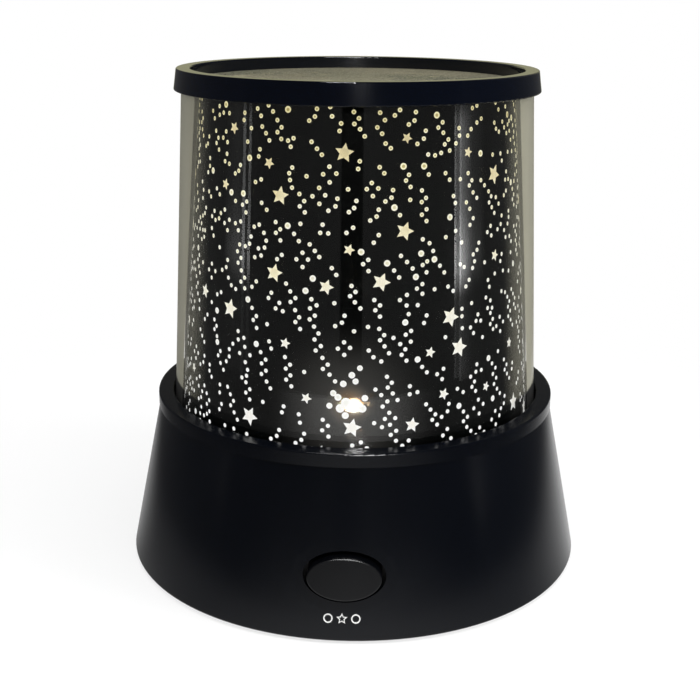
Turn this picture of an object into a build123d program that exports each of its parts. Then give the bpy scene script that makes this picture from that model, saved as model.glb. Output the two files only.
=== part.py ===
from build123d import *
import math
import os

# Star night light: a black cone-shaped base with one push button, and a clear tapered cover that
# lifts out of the base with a rolled star film inside it and a black cap ring on top.
# Millimetres. +Z is up, the button faces -Y, and the origin is on the surface the lamp stands on,
# under the middle of the base.

# Base housing
foot_proud = 0.6  # how far the feet stand below the housing's lower edge
base_lower_radius = 57.5
base_wall = 2.5
board_headroom = 9.7  # main board to the underside of the well floor
collar_height = 3.5  # upright stretch of the wall under the rim
collar_proud = 0.25  # collar outside the cone's upper edge
lower_edge_round = 0.5
upper_edge_round = 0.4
rim_edge_round = 0.35

# Well in the top of the base, where the cover stands
well_play = 0.2  # beside the cover's foot
rim_width = 3.75
well_depth = 8.0
well_floor = 2.0

# Bottom plate and its screws
plate_inset = 0.4  # plate face above the housing's lower edge
plate_thickness = 2.4
plate_clearance = 0.25
screw_wall_inset = 5.0  # screw centre from the inside wall, at the well floor
screw_count = 4
screw_start_angle = 45.0
screw_shank_radius = 1.45
screw_head_radius = 2.8
screw_head_height = 2.0
screw_head_sink = 0.3  # head face above the plate's face
screw_length = 12.0
screw_seat_thickness = 2.8
screw_play = 0.05
head_play = 0.5
boss_radius = 4.3
cross_width = 0.7
cross_length = 3.2
cross_depth = 1.1

# Rubber feet
foot_count = 4
foot_inset = 7.2  # foot centre from the plate's edge
foot_radius = 4.5
foot_recess = 0.6
foot_edge_round = 0.4

# Battery cells, size AA
cell_count = 3
cell_radius = 7.25
cell_length = 50.5
cell_nub_radius = 2.75
cell_nub_length = 1.1
cell_pitch = 15.2
cell_edge_round = 0.6
cell_lift = 0.3  # cell above the door

# Battery contacts
contact_thickness = 0.4
contact_size = 11.0
spring_length = 5.0
spring_coil_radius = 3.0
spring_wire_radius = 0.35
spring_turns = 4

# Battery bay
bay_slack = 0.4
bay_side_gap = 0.5
bay_top_gap = 0.4
bay_wall = 1.5
divider_width = 1.6
divider_depth = 2.4

# Battery door
door_thickness = 1.4
door_step_gap = 0.1
door_edge_gap = 0.25
door_lap = 1.5
door_corner_radius = 2.0
hinge_tab_width = 8.0
hinge_tab_thickness = 1.1
hinge_tab_reach = 1.7
hinge_tab_root = 2.0
hinge_tab_spread = 38.0
hinge_lip_height = 1.0  # plate left under each tab
hinge_pocket_height = 5.0
hinge_play = 0.2
hinge_pocket_wall = 1.0
tongue_width = 11.0
tongue_length = 7.0
tongue_slot = 0.8
grip_rib_count = 3
grip_rib_pitch = 1.6
grip_rib_height = 0.3

# Push button in the front of the base
button_height = 15.1
button_half_width = 8.35
button_half_height = 4.75
button_gap = 0.95
button_proud = 1.7
button_edge_round = 0.35
button_travel = 1.6
button_flange_lap = 0.95
button_flange_thickness = 1.2
button_stop_depth = 5.05  # outside of the wall to the flat stop face behind it
button_stop_gap = 0.05
button_guide_play = 0.2
button_guide_wall = 1.3
button_guide_depth = 4.4
button_stem_radius = 3.0
button_stem_length = 4.0

# Push switch behind the button
switch_size = 8.5
switch_length = 8.0
switch_gap = 0.5  # stem end to switch face with the button fully pressed
plunger_size = 3.0
plunger_play = 0.05
plunger_bore_play = 0.15
plunger_in_switch = 2.4
plunger_in_stem = 3.0
switch_pin_radius = 0.35
switch_pin_spread = 5.0
switch_pin_pitch = 2.5
switch_pin_length = 3.2
pin_hole_play = 0.15

# Circuit boards
board_thickness = 1.6
switch_board_width = 24.0
switch_board_height = 17.0
board_rib_width = 4.0
board_rib_depth = 4.6
board_rib_height = 12.0
board_slot_play = 0.1
board_slot_bite = 2.0
main_board_margin = 3.6  # board edge inside the bay roof's edge
main_board_corner = 3.0
main_board_inset = 4.0
board_post_height = 2.0
board_post_radius = 2.6
board_screw_radius = 1.1
board_screw_head_radius = 2.1
board_screw_head_height = 1.3
board_screw_bite = 3.0
board_post_bore_floor = 0.3

# Parts on the main board
chip_length = 12.0
chip_width = 7.6
chip_height = 2.2
chip_leg_count = 8
chip_leg_width = 0.4
chip_leg_reach = 1.1
chip_leg_height = 1.0
capacitor_radius = 3.15
capacitor_height = 6.0
capacitor_groove = 0.25
capacitor_side_inset = 7.25
capacitor_back_inset = 11.85
resistor_count = 4
resistor_radius = 1.1
resistor_length = 6.2
resistor_pitch = 3.4
resistor_wire_radius = 0.3
resistor_span = 10.0

# Lamp cluster on the axis
led_count = 4
led_circle_radius = 4.5
led_radius = 2.5
led_flange_radius = 2.95
led_flange_height = 1.0
led_cylinder_height = 5.1
led_tip_above_well = 4.7
led_leg_radius = 0.25
led_leg_spread = 2.54
led_leg_length = 3.2
led_board_post_radius = 2.2
led_board_post_gap = 0.3  # post to the aperture's edge
led_board_edge = 2.6  # screw centre to the board's edge
led_board_screw_count = 3
holder_edge = 2.35  # lamp flange to the collar's outside
holder_play = 0.2
holder_led_play = 0.08
holder_above_well = 1.8
holder_edge_round = 0.4

# Power inlet in the back of the base
inlet_height = 15.1
inlet_pocket_depth = 3.35  # outside of the wall to the flat seat of the flange
inlet_wall = 2.5
inlet_boss_wall = 1.7
inlet_flange_radius = 4.9
inlet_flange_play = 0.4
inlet_flange_thickness = 1.2
inlet_barrel_radius = 3.9
inlet_barrel_length = 11.5
inlet_hole_play = 0.1
inlet_bore_radius = 1.8
inlet_bore_depth = 9.5
inlet_pin_radius = 0.65
inlet_pin_setback = 1.0
nut_across_flats = 10.0
nut_thickness = 2.0
tag_width = 2.2
tag_thickness = 0.4
tag_length = 4.0
tag_offset = 2.2

# Clear cover
cover_head_radius = 41.8  # outside of the cover at its upper edge
cover_flare = 4.1  # its lower edge is this much wider
cover_wall = 2.0

# Ring that carries the cover and the film
film_ring_foot = 1.5
film_ring_lip = 1.25  # foot's inner edge inside the low wall
film_ring_outer_gap = 0.15
film_ring_wall = 1.2
film_ring_height = 3.4
film_ring_play = 0.1

# Star film
film_foot_gap = 0.1  # film to cover at the lower edge
film_head_gap = 2.4  # film to cover at the upper edge
film_thickness = 0.35

# Cap ring, top window and top film
cap_top = 121.1
cap_band_height = 5.0
cap_lower_overhang = 1.8  # band outside the cover, at its lower edge
cap_upper_overhang = 1.1
cap_rim_width = 3.3
cap_recess = 2.9
cap_shelf_width = 3.8
cap_groove_depth = 0.5
cap_groove_play = 0.1
cap_edge_round = 0.3
window_thickness = 0.8
window_play = 0.1
top_film_thickness = 0.3

# Levels and lines that follow from the sizes above
base_bottom = foot_proud
cover_foot_radius = cover_head_radius + cover_flare
well_radius = cover_foot_radius + well_play
base_upper_radius = well_radius + rim_width
plate_bottom = base_bottom + plate_inset
plate_top = plate_bottom + plate_thickness
screw_seat = plate_bottom + screw_head_sink + screw_head_height
screw_boss_top = screw_seat + screw_seat_thickness
door_top = plate_bottom + door_thickness
bay_floor = door_top + door_step_gap
cell_axis_height = door_top + cell_lift + cell_radius
bay_length = cell_length + spring_length + 2 * contact_thickness + bay_slack
bay_width = (cell_count - 1) * cell_pitch + 2 * cell_radius + 2 * bay_side_gap
bay_ceiling = cell_axis_height + cell_radius + bay_top_gap
bay_roof = bay_ceiling + bay_wall
door_length = bay_length + 2 * door_lap
door_width = bay_width + 2 * door_lap
hinge_y = door_width / 2 + door_edge_gap
main_board_width = bay_length + 2 * bay_wall - 2 * main_board_margin
main_board_depth = bay_width + 2 * bay_wall - 2 * main_board_margin
main_board_bottom = bay_roof + board_post_height
main_board_top = main_board_bottom + board_thickness
well_floor_bottom = main_board_top + board_headroom
well_floor_top = well_floor_bottom + well_floor
base_top = well_floor_top + well_depth
collar_bottom = base_top - collar_height
base_neck_radius = base_upper_radius - collar_proud
led_board_top = (
    well_floor_top + led_tip_above_well - led_radius - led_cylinder_height - led_flange_height
)
led_board_bottom = led_board_top - board_thickness
holder_radius = led_circle_radius + led_flange_radius + holder_edge
lamp_aperture_radius = holder_radius + holder_play
led_board_screw_circle = lamp_aperture_radius + led_board_post_radius + led_board_post_gap
led_board_radius = led_board_screw_circle + led_board_edge
cap_band_bottom = cap_top - cap_band_height
groove_top = cap_band_bottom + cap_groove_depth
window_top = cap_top - cap_recess
window_bottom = window_top - window_thickness
shelf_top = window_bottom - top_film_thickness
cover_bottom = well_floor_top + film_ring_foot
film_foot_radius = cover_foot_radius - cover_wall - film_foot_gap
film_head_radius = cover_head_radius - cover_wall - film_head_gap
cap_lower_radius = cover_head_radius + cap_lower_overhang
cap_upper_radius = cover_head_radius + cap_upper_overhang
cap_rim_inner_radius = cap_upper_radius - cap_rim_width
cap_shelf_radius = cap_rim_inner_radius - cap_shelf_width


def along(z, low_z, low_value, high_z, high_value):
    """Value at height z on a straight line between two heights."""
    share = (z - low_z) / (high_z - low_z)
    return low_value + share * (high_value - low_value)


def base_radius(z):
    return along(z, base_bottom, base_lower_radius, collar_bottom, base_neck_radius)


# Distances from the axis that follow from the cone wall
screw_circle_radius = base_radius(well_floor_bottom) - base_wall - screw_wall_inset
plate_radius = base_radius(plate_bottom) - base_wall - plate_clearance
foot_circle_radius = plate_radius - foot_inset
inlet_seat = base_radius(inlet_height) - inlet_pocket_depth
inlet_inner = inlet_seat - inlet_wall
inlet_mouth = inlet_seat + inlet_flange_thickness
inlet_pocket_radius = inlet_flange_radius + inlet_flange_play
button_stop = base_radius(button_height) - button_stop_depth
button_flange_front = button_stop - button_stop_gap
button_flange_back = button_flange_front - button_flange_thickness
button_stem_end = button_flange_back - button_stem_length
switch_face = button_stem_end - button_travel - switch_gap
switch_back = switch_face - switch_length
switch_board_back = switch_back - board_thickness


def cover_radius(z):
    return along(z, cover_bottom, cover_foot_radius, groove_top, cover_head_radius)


def film_radius(z):
    return along(z, cover_bottom, film_foot_radius, groove_top, film_head_radius)


def cap_radius(z):
    return along(z, cap_band_bottom, cap_lower_radius, cap_top, cap_upper_radius)


def turned(points, rounds=()):
    """Solid of revolution of a closed (radius, height) outline, with some corners rounded."""
    face = make_face(Plane.XZ * Polyline(*points, close=True))
    for radius, height, size in rounds:
        corner = face.vertices().sort_by_distance(Vector(radius, 0, height))[0]
        face = fillet(corner, size)
    return revolve(face, Axis.Z)


def rod(radius, low, high, x=0.0, y=0.0):
    return Pos(x, y, low) * extrude(Circle(radius), high - low)


def block(width, depth, low, high, x=0.0, y=0.0):
    return Pos(x, y, low) * extrude(Rectangle(width, depth), high - low)


def on_circle(radius, count, start_angle=0.0):
    """Centres of evenly spaced features on a circle."""
    angles = [math.radians(start_angle + 360.0 * i / count) for i in range(count)]
    return [(radius * math.cos(a), radius * math.sin(a)) for a in angles]


def front_plane(distance, height=button_height):
    """Upright plane facing -Y, the given distance in front of the axis."""
    return Plane(origin=(0, -distance, height), x_dir=(1, 0, 0), z_dir=(0, -1, 0))


def back_plane(distance, height=inlet_height):
    """Upright plane facing +Y, the given distance behind the axis."""
    return Plane(origin=(0, distance, height), x_dir=(-1, 0, 0), z_dir=(0, 1, 0))


def oval_bar(grow, near, far):
    """Bar with the button's oval outline grown by a margin, between two distances from the axis."""
    outline = Ellipse(button_half_width + grow, button_half_height + grow)
    return extrude(front_plane(near) * outline, far - near)


def back_rod(radius, near, far):
    return extrude(back_plane(near) * Circle(radius), far - near)


def solid_cone(grow=0.0):
    """The base's outside below its collar as a full cone, grown sideways by a margin."""
    return turned(
        [
            (0, base_bottom),
            (base_lower_radius + grow, base_bottom),
            (base_neck_radius + grow, collar_bottom),
            (0, collar_bottom),
        ]
    )


def group(solids):
    return Compound(children=[s for solid in solids for s in solid.solids()])


def save(name, shape):
    export_step(shape, f"parts/{name}.step")


# ---- Base ----


def base_housing():
    """Moulded shell: cone wall, collar, rim, well, button guide, inlet seat and screw bosses."""
    shell = turned(
        [
            (base_lower_radius, base_bottom),
            (base_neck_radius, collar_bottom),
            (base_upper_radius, collar_bottom + collar_proud),
            (base_upper_radius, base_top),
            (well_radius, base_top),
            (well_radius, well_floor_top),
            (lamp_aperture_radius, well_floor_top),
            (lamp_aperture_radius, well_floor_bottom),
            (base_radius(well_floor_bottom) - base_wall, well_floor_bottom),
            (base_lower_radius - base_wall, base_bottom),
        ],
        [
            (base_lower_radius, base_bottom, lower_edge_round),
            (base_upper_radius, base_top, upper_edge_round),
            (well_radius, base_top, rim_edge_round),
        ],
    )
    inside = solid_cone()
    flange_grow = button_gap + button_flange_lap + button_guide_play
    guide_end = button_stop - button_guide_depth
    button_boss = oval_bar(flange_grow + button_guide_wall, guide_end, base_lower_radius) & inside
    inlet_boss = back_rod(inlet_pocket_radius + inlet_boss_wall, inlet_inner, base_lower_radius) & inside
    housing = shell + button_boss + inlet_boss
    for x, y in on_circle(screw_circle_radius, screw_count, screw_start_angle):
        housing += rod(boss_radius, screw_boss_top, well_floor_bottom, x, y)
    for x, y in on_circle(led_board_screw_circle, led_board_screw_count, 90.0):
        housing += rod(led_board_post_radius, led_board_top, well_floor_bottom, x, y)
    housing -= rod(lamp_aperture_radius, led_board_bottom, well_floor_top + 1)
    housing -= oval_bar(button_gap, guide_end, 2 * base_lower_radius)
    housing -= oval_bar(flange_grow, guide_end, button_stop)
    housing -= back_rod(inlet_pocket_radius, inlet_seat, 2 * base_lower_radius)
    housing -= back_rod(inlet_barrel_radius + inlet_hole_play, inlet_inner, inlet_seat)
    pilot = screw_shank_radius + screw_play
    for x, y in on_circle(screw_circle_radius, screw_count, screw_start_angle):
        housing -= rod(pilot, screw_boss_top, screw_seat + screw_length + 1, x, y)
    small_pilot = board_screw_radius + screw_play
    for x, y in on_circle(led_board_screw_circle, led_board_screw_count, 90.0):
        housing -= rod(small_pilot, led_board_top, led_board_bottom + led_screw_length() + 0.2, x, y)
    return housing


def led_screw_length():
    """Screw of the lamp board: through the board and most of the post."""
    return board_thickness + (well_floor_bottom - led_board_top) + well_floor / 2


def cell_rows():
    """The y position of each battery cell."""
    return [(i - (cell_count - 1) / 2) * cell_pitch for i in range(cell_count)]


def board_post_places():
    x = main_board_width / 2 - main_board_inset
    y = main_board_depth / 2 - main_board_inset
    return [(sx * x, sy * y) for sx in (-1, 1) for sy in (-1, 1)]


def hinge_tab_places():
    return [-hinge_tab_spread / 2, hinge_tab_spread / 2]


def bottom_plate():
    """Round cover plate with the battery bay, board posts, switch-board ribs and screw bosses."""
    top_radius = base_radius(plate_top) - base_wall - plate_clearance
    plate = turned(
        [(0, plate_bottom), (plate_radius, plate_bottom), (top_radius, plate_top), (0, plate_top)]
    )
    outer_length = bay_length + 2 * bay_wall
    outer_width = bay_width + 2 * bay_wall
    plate += block(outer_length, outer_width, bay_floor, bay_roof)
    for x, y in board_post_places():
        plate += rod(board_post_radius, bay_roof, main_board_bottom, x, y)
    for x, y in on_circle(screw_circle_radius, screw_count, screw_start_angle):
        plate += rod(boss_radius, plate_bottom, screw_boss_top, x, y)
    rib_x = switch_board_width / 2 - board_slot_bite + board_rib_width / 2
    rib_y = -(switch_back + switch_board_back) / 2
    for side in (-1, 1):
        plate += block(
            board_rib_width, board_rib_depth, plate_bottom, plate_top + board_rib_height,
            side * rib_x, rib_y,
        )
    plate += hinge_pockets(hinge_pocket_wall)
    plate -= block(bay_length, bay_width, plate_bottom - 1, bay_ceiling)
    door_hole = Rectangle(door_length + 2 * door_edge_gap, door_width + 2 * door_edge_gap)
    door_hole = fillet(door_hole.vertices(), door_corner_radius + door_edge_gap)
    plate -= Pos(0, 0, plate_bottom - 1) * extrude(door_hole, bay_floor - plate_bottom + 1)
    plate += bay_dividers()
    plate -= hinge_pockets(0)
    plate -= switch_board_slot()
    for x, y in on_circle(screw_circle_radius, screw_count, screw_start_angle):
        plate -= rod(screw_head_radius + head_play, plate_bottom - 1, screw_seat, x, y)
        plate -= rod(screw_shank_radius + screw_play, screw_seat, screw_boss_top, x, y)
    for x, y in on_circle(foot_circle_radius, foot_count):
        plate -= rod(foot_radius, plate_bottom - 1, plate_bottom + foot_recess, x, y)
    post_bore = max(main_board_bottom - board_screw_bite, bay_ceiling + board_post_bore_floor)
    for x, y in board_post_places():
        plate -= rod(board_screw_radius + screw_play, post_bore, main_board_bottom, x, y)
    return plate


def bay_dividers():
    """Ribs under the bay's ceiling, between the cells."""
    rows = cell_rows()
    ribs = Part()
    for first, second in zip(rows, rows[1:]):
        ribs += block(
            bay_length / 2, divider_width, bay_ceiling - divider_depth, bay_ceiling,
            0, (first + second) / 2,
        )
    return ribs


def hinge_pockets(wall):
    """Pockets in the bay's back wall for the door's two tabs, above the plate's lip, grown by a wall."""
    front = door_width / 2 - hinge_tab_root - hinge_play
    back = hinge_y + hinge_tab_reach + hinge_play + wall
    low = plate_bottom + hinge_lip_height
    high = low + hinge_pocket_height + wall
    width = hinge_tab_width + 2 * hinge_play + 2 * wall
    pockets = Part()
    for x in hinge_tab_places():
        pockets += block(width, back - front, low, high, x, (front + back) / 2)
    return pockets


def switch_board_slot():
    """Slot in the two ribs that the switch board slides down into."""
    front = -switch_back - board_slot_play
    back = -switch_board_back + board_slot_play
    return block(
        switch_board_width + 2 * board_slot_play, back - front, plate_top,
        plate_top + board_rib_height, 0, (front + back) / 2,
    )


def cross_recess(z, x, y, facing):
    """Cross-shaped driver recess in a screw head whose face is at z; facing is -1 for down."""
    low = min(z, z - facing * cross_depth)
    high = max(z, z - facing * cross_depth)
    one = block(cross_length, cross_width, low, high, x, y)
    other = block(cross_width, cross_length, low, high, x, y)
    return one + other


def plate_screws():
    """Pan-head screws that hold the bottom plate to the housing."""
    head_face = screw_seat - screw_head_height
    screws = []
    for x, y in on_circle(screw_circle_radius, screw_count, screw_start_angle):
        head = rod(screw_head_radius, head_face, screw_seat, x, y)
        head = fillet(head.edges().group_by(Axis.Z)[0], 0.3 * screw_head_height)
        shank = rod(screw_shank_radius, screw_seat, screw_seat + screw_length, x, y)
        shank = chamfer(shank.edges().group_by(Axis.Z)[-1], 0.4 * screw_shank_radius)
        screws.append(head + shank - cross_recess(head_face, x, y, -1))
    return group(screws)


def foot(x, y):
    """Rubber foot, a disc set in a recess of the bottom plate."""
    disc = rod(foot_radius, 0, plate_bottom + foot_recess, x, y)
    return fillet(disc.edges().group_by(Axis.Z)[0], foot_edge_round)


# ---- Batteries ----


def cell_direction(index):
    """+1 where the cell's positive end points to +X; neighbours point opposite ways."""
    return 1 if index % 2 == 0 else -1


def battery_cell(index, y):
    """AA cell lying along X, its nub against the positive contact."""
    side = cell_direction(index)
    nub_end = bay_length / 2 - contact_thickness - bay_slack / 2
    body_length = cell_length - cell_nub_length
    body = extrude(Circle(cell_radius), body_length)
    body = fillet(body.edges(), cell_edge_round)
    nub = Pos(0, 0, body_length) * extrude(Circle(cell_nub_radius), cell_nub_length)
    cell = Pos(0, 0, nub_end - cell_length) * (body + nub)
    turn = 90 if side > 0 else -90
    return Pos(0, y, cell_axis_height) * Rot(0, turn, 0) * cell


def battery_contact(index, y):
    """Positive contact plate on the bay's end wall."""
    side = cell_direction(index)
    centre = side * (bay_length / 2 - bay_slack / 2 - contact_thickness / 2)
    return Pos(centre, y, cell_axis_height) * Box(contact_thickness, contact_size, contact_size)


def battery_spring(index, y):
    """Negative contact: a plate with a coil spring pressed against the cell."""
    side = -cell_direction(index)
    plate_centre = side * (bay_length / 2 - bay_slack / 2 - contact_thickness / 2)
    plate = Pos(plate_centre, y, cell_axis_height) * Box(
        contact_thickness, contact_size, contact_size
    )
    coil_height = spring_length - 2 * spring_wire_radius
    path = Helix(coil_height / spring_turns, coil_height, spring_coil_radius)
    start = Plane(origin=path @ 0, z_dir=path % 0)
    coil = sweep(start * Circle(spring_wire_radius), path=path)
    inner_face = plate_centre - side * contact_thickness / 2
    seat = inner_face - side * (spring_length - spring_wire_radius)
    turn = 90 if side > 0 else -90
    coil = Pos(seat, y, cell_axis_height) * Rot(0, turn, 0) * coil
    return group([plate, coil])


def battery_door():
    """Flat door with two hinge tabs at the back and a springy tongue with grip ribs at the front."""
    panel = Rectangle(door_length, door_width)
    panel = fillet(panel.vertices(), door_corner_radius)
    door = Pos(0, 0, plate_bottom) * extrude(panel, door_thickness)
    tab_low = plate_bottom + hinge_lip_height + door_step_gap
    tab_high = tab_low + hinge_tab_thickness
    edge = door_width / 2
    for x in hinge_tab_places():
        door += block(
            hinge_tab_width, hinge_tab_reach + hinge_tab_root + door_edge_gap, tab_low, tab_high,
            x, edge + (hinge_tab_reach + door_edge_gap - hinge_tab_root) / 2,
        )
    for side in (-1, 1):
        door -= block(
            tongue_slot, 2 * tongue_length, plate_bottom - 1, door_top + 1,
            side * tongue_width / 2, -door_width / 2,
        )
    for i in range(grip_rib_count):
        rib_y = -door_width / 2 + (i + 1) * grip_rib_pitch
        door -= block(
            tongue_width - 3 * tongue_slot, grip_rib_pitch / 2,
            plate_bottom, plate_bottom + grip_rib_height, 0, rib_y,
        )
    return door


# ---- Push button and switch ----


def button_cap():
    """Oval key: sloped face flush with the cone's slope, stop flange, and stem with a square socket."""
    key = oval_bar(0, button_flange_front, 2 * base_lower_radius) & solid_cone(button_proud)
    rim = key.edges().sort_by(Axis.Y)[:1]
    key = fillet(rim, button_edge_round)
    flange = oval_bar(button_gap + button_flange_lap, button_flange_back, button_flange_front)
    stem = extrude(
        front_plane(button_stem_end) * Circle(button_stem_radius),
        button_flange_back - button_stem_end,
    )
    socket_size = plunger_size + 2 * plunger_play
    socket = extrude(
        front_plane(button_stem_end) * Rectangle(socket_size, socket_size), plunger_in_stem
    )
    return key + flange + stem - socket


def switch_plunger():
    """Square plunger of the push switch, pressed into the button's stem."""
    back = switch_face - plunger_in_switch
    length = button_stem_end + plunger_in_stem - back
    return extrude(front_plane(back) * Rectangle(plunger_size, plunger_size), length)


def switch_body():
    """Push switch housing, open at the front for its plunger."""
    body = extrude(front_plane(switch_back) * Rectangle(switch_size, switch_size), switch_length)
    body = fillet(body.edges().filter_by(Axis.Y), 0.5)
    bore_size = plunger_size + 2 * plunger_bore_play
    bore_depth = plunger_in_switch + button_travel + switch_gap
    bore = extrude(
        front_plane(switch_face - bore_depth) * Rectangle(bore_size, bore_size), bore_depth
    )
    return body - bore


def switch_pin_places():
    xs = [-switch_pin_spread / 2, switch_pin_spread / 2]
    zs = [-switch_pin_pitch, 0.0, switch_pin_pitch]
    return [(x, z) for x in xs for z in zs]


def switch_pins():
    """Soldered pins of the push switch, through the switch board."""
    plane = front_plane(switch_back - switch_pin_length)
    pins = [
        extrude(plane * (Pos(x, z) * Circle(switch_pin_radius)), switch_pin_length)
        for x, z in switch_pin_places()
    ]
    return group(pins)


def switch_board():
    """Small upright circuit board behind the button, standing in the bottom plate's ribs."""
    low = plate_top
    board = block(
        switch_board_width, board_thickness, low, low + switch_board_height,
        0, -(switch_back + switch_board_back) / 2,
    )
    plane = front_plane(switch_board_back)
    for x, z in switch_pin_places():
        hole = Pos(x, z) * Circle(switch_pin_radius + pin_hole_play)
        board -= extrude(plane * hole, board_thickness)
    return board


# ---- Main board ----


def main_board():
    """Circuit board on the battery bay's roof."""
    outline = Rectangle(main_board_width, main_board_depth)
    outline = fillet(outline.vertices(), main_board_corner)
    board = Pos(0, 0, main_board_bottom) * extrude(outline, board_thickness)
    for x, y in board_post_places():
        board -= rod(board_screw_radius + screw_play, main_board_bottom, main_board_top, x, y)
    return board


def small_screw(x, y, head_seat, tip, facing):
    """Small pan-head screw; facing is +1 with its head on top and -1 with its head below."""
    head_face = head_seat + facing * board_screw_head_height
    head = rod(board_screw_head_radius, min(head_seat, head_face), max(head_seat, head_face), x, y)
    shank = rod(board_screw_radius, min(head_seat, tip), max(head_seat, tip), x, y)
    slot_low = min(head_face, head_face - facing * board_screw_head_height / 2)
    slot = block(
        2 * board_screw_head_radius, cross_width, slot_low,
        slot_low + board_screw_head_height / 2, x, y,
    )
    return head + shank - slot


def board_screws():
    """Screws that hold the main board on its posts."""
    tip = max(main_board_bottom - board_screw_bite, bay_ceiling + board_post_bore_floor) + 0.2
    return group([small_screw(x, y, main_board_top, tip, 1) for x, y in board_post_places()])


def control_chip():
    """Controller chip with a row of legs on each long side."""
    low = main_board_top
    body = block(chip_length, chip_width, low + chip_leg_width, low + chip_height)
    body = chamfer(body.edges().group_by(Axis.Z)[-1], 0.3)
    pitch = chip_length / chip_leg_count
    chip = body
    for i in range(chip_leg_count):
        x = (i - (chip_leg_count - 1) / 2) * pitch
        for side in (-1, 1):
            reach = chip_width / 2 + chip_leg_reach / 2
            chip += block(chip_leg_width, chip_leg_reach, low, low + chip_leg_height, x, side * reach)
    return chip


def capacitor(side):
    """Electrolytic capacitor standing on the main board."""
    x = side * (main_board_width / 2 - capacitor_side_inset)
    y = main_board_depth / 2 - capacitor_back_inset
    can = rod(capacitor_radius, main_board_top, main_board_top + capacitor_height, x, y)
    can = fillet(can.edges().group_by(Axis.Z)[-1], 0.5)
    groove_low = main_board_top + 0.2 * capacitor_height
    groove_high = groove_low + 2 * capacitor_groove
    groove = rod(capacitor_radius + 1, groove_low, groove_high, x, y)
    core = rod(capacitor_radius - capacitor_groove, groove_low, groove_high, x, y)
    return can - (groove - core)


def resistors():
    """Axial resistors in a row, each on its two bent leads."""
    y = -main_board_depth / 2 + main_board_inset + resistor_pitch
    height = main_board_top + resistor_radius + 0.2
    pieces = []
    for i in range(resistor_count):
        x = (i - (resistor_count - 1) / 2) * resistor_pitch
        barrel = Pos(x, y, height) * Rot(90, 0, 0) * Cylinder(resistor_radius, resistor_length)
        barrel = fillet(barrel.edges(), 0.35)
        lead = Pos(x, y, height) * Rot(90, 0, 0) * Cylinder(resistor_wire_radius, resistor_span)
        ends = [
            rod(resistor_wire_radius, main_board_top, height, x, y + s * resistor_span / 2)
            for s in (-1, 1)
        ]
        pieces.append(barrel + lead + ends[0] + ends[1])
    return group(pieces)


# ---- Lamp cluster ----


def led_places():
    return on_circle(led_circle_radius, led_count, -90.0)


def led(x, y):
    """5 mm round lamp: flange, cylinder and dome."""
    flange = rod(led_flange_radius, led_board_top, led_board_top + led_flange_height, x, y)
    dome_centre = led_board_top + led_flange_height + led_cylinder_height
    lens = rod(led_radius, led_board_top, dome_centre, x, y)
    dome = Pos(x, y, dome_centre) * Sphere(led_radius)
    return flange + lens + dome


def led_leg_places():
    return [(x + s * led_leg_spread / 2, y) for x, y in led_places() for s in (-1, 1)]


def led_legs():
    """Soldered legs of the lamps, through the lamp board."""
    low = led_board_top - led_leg_length
    return group([rod(led_leg_radius, low, led_board_top, x, y) for x, y in led_leg_places()])


def led_board():
    """Round lamp board under the well floor."""
    board = rod(led_board_radius, led_board_bottom, led_board_top)
    for x, y in led_leg_places():
        board -= rod(led_leg_radius + pin_hole_play, led_board_bottom, led_board_top, x, y)
    for x, y in on_circle(led_board_screw_circle, led_board_screw_count, 90.0):
        board -= rod(board_screw_radius + screw_play, led_board_bottom, led_board_top, x, y)
    return board


def led_board_screws():
    """Screws that hold the lamp board up against its posts."""
    tip = led_board_bottom + led_screw_length()
    places = on_circle(led_board_screw_circle, led_board_screw_count, 90.0)
    return group([small_screw(x, y, led_board_bottom, tip, -1) for x, y in places])


def led_holder():
    """Black collar in the well floor that keeps the lamps upright."""
    foot_top = led_board_top + led_flange_height
    high = well_floor_top + holder_above_well
    collar = rod(holder_radius, led_board_top, high)
    collar = fillet(collar.edges().group_by(Axis.Z)[-1], holder_edge_round)
    for x, y in led_places():
        collar -= rod(led_radius + holder_led_play, foot_top, high, x, y)
        collar -= rod(led_flange_radius + holder_led_play, led_board_top, foot_top, x, y)
    return collar


# ---- Power inlet ----


def dc_jack():
    """Panel socket: flange outside, threaded barrel through the wall, blind bore for the plug."""
    flange = back_rod(inlet_flange_radius, inlet_seat, inlet_mouth)
    flange = fillet(flange.edges().group_by(Axis.Y)[-1], 0.3)
    barrel = back_rod(inlet_barrel_radius, inlet_seat - inlet_barrel_length, inlet_seat)
    bore = back_rod(inlet_bore_radius, inlet_mouth - inlet_bore_depth, inlet_mouth)
    return flange + barrel - bore


def dc_jack_pin():
    """Centre pin of the socket."""
    pin = back_rod(
        inlet_pin_radius, inlet_mouth - inlet_bore_depth, inlet_mouth - inlet_pin_setback
    )
    return fillet(pin.edges().group_by(Axis.Y)[-1], 0.6 * inlet_pin_radius)


def dc_jack_nut():
    """Hexagon nut behind the wall."""
    plane = back_plane(inlet_inner - nut_thickness)
    hexagon = RegularPolygon(nut_across_flats / 2, 6, major_radius=False)
    hole = Circle(inlet_barrel_radius + inlet_hole_play)
    return extrude(plane * (hexagon - hole), nut_thickness)


def dc_jack_tags():
    """Solder tags at the back of the socket."""
    plane = back_plane(inlet_seat - inlet_barrel_length - tag_length)
    tags = [
        extrude(plane * (Pos(0, s * tag_offset) * Rectangle(tag_width, tag_thickness)), tag_length)
        for s in (-1, 1)
    ]
    return group(tags)


# ---- Cover ----


def clear_cover():
    """Clear tapered tube, from the carrier ring up into the cap's groove."""
    return turned(
        [
            (cover_radius(cover_bottom), cover_bottom),
            (cover_radius(groove_top), groove_top),
            (cover_radius(groove_top) - cover_wall, groove_top),
            (cover_radius(cover_bottom) - cover_wall, cover_bottom),
        ]
    )


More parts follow.
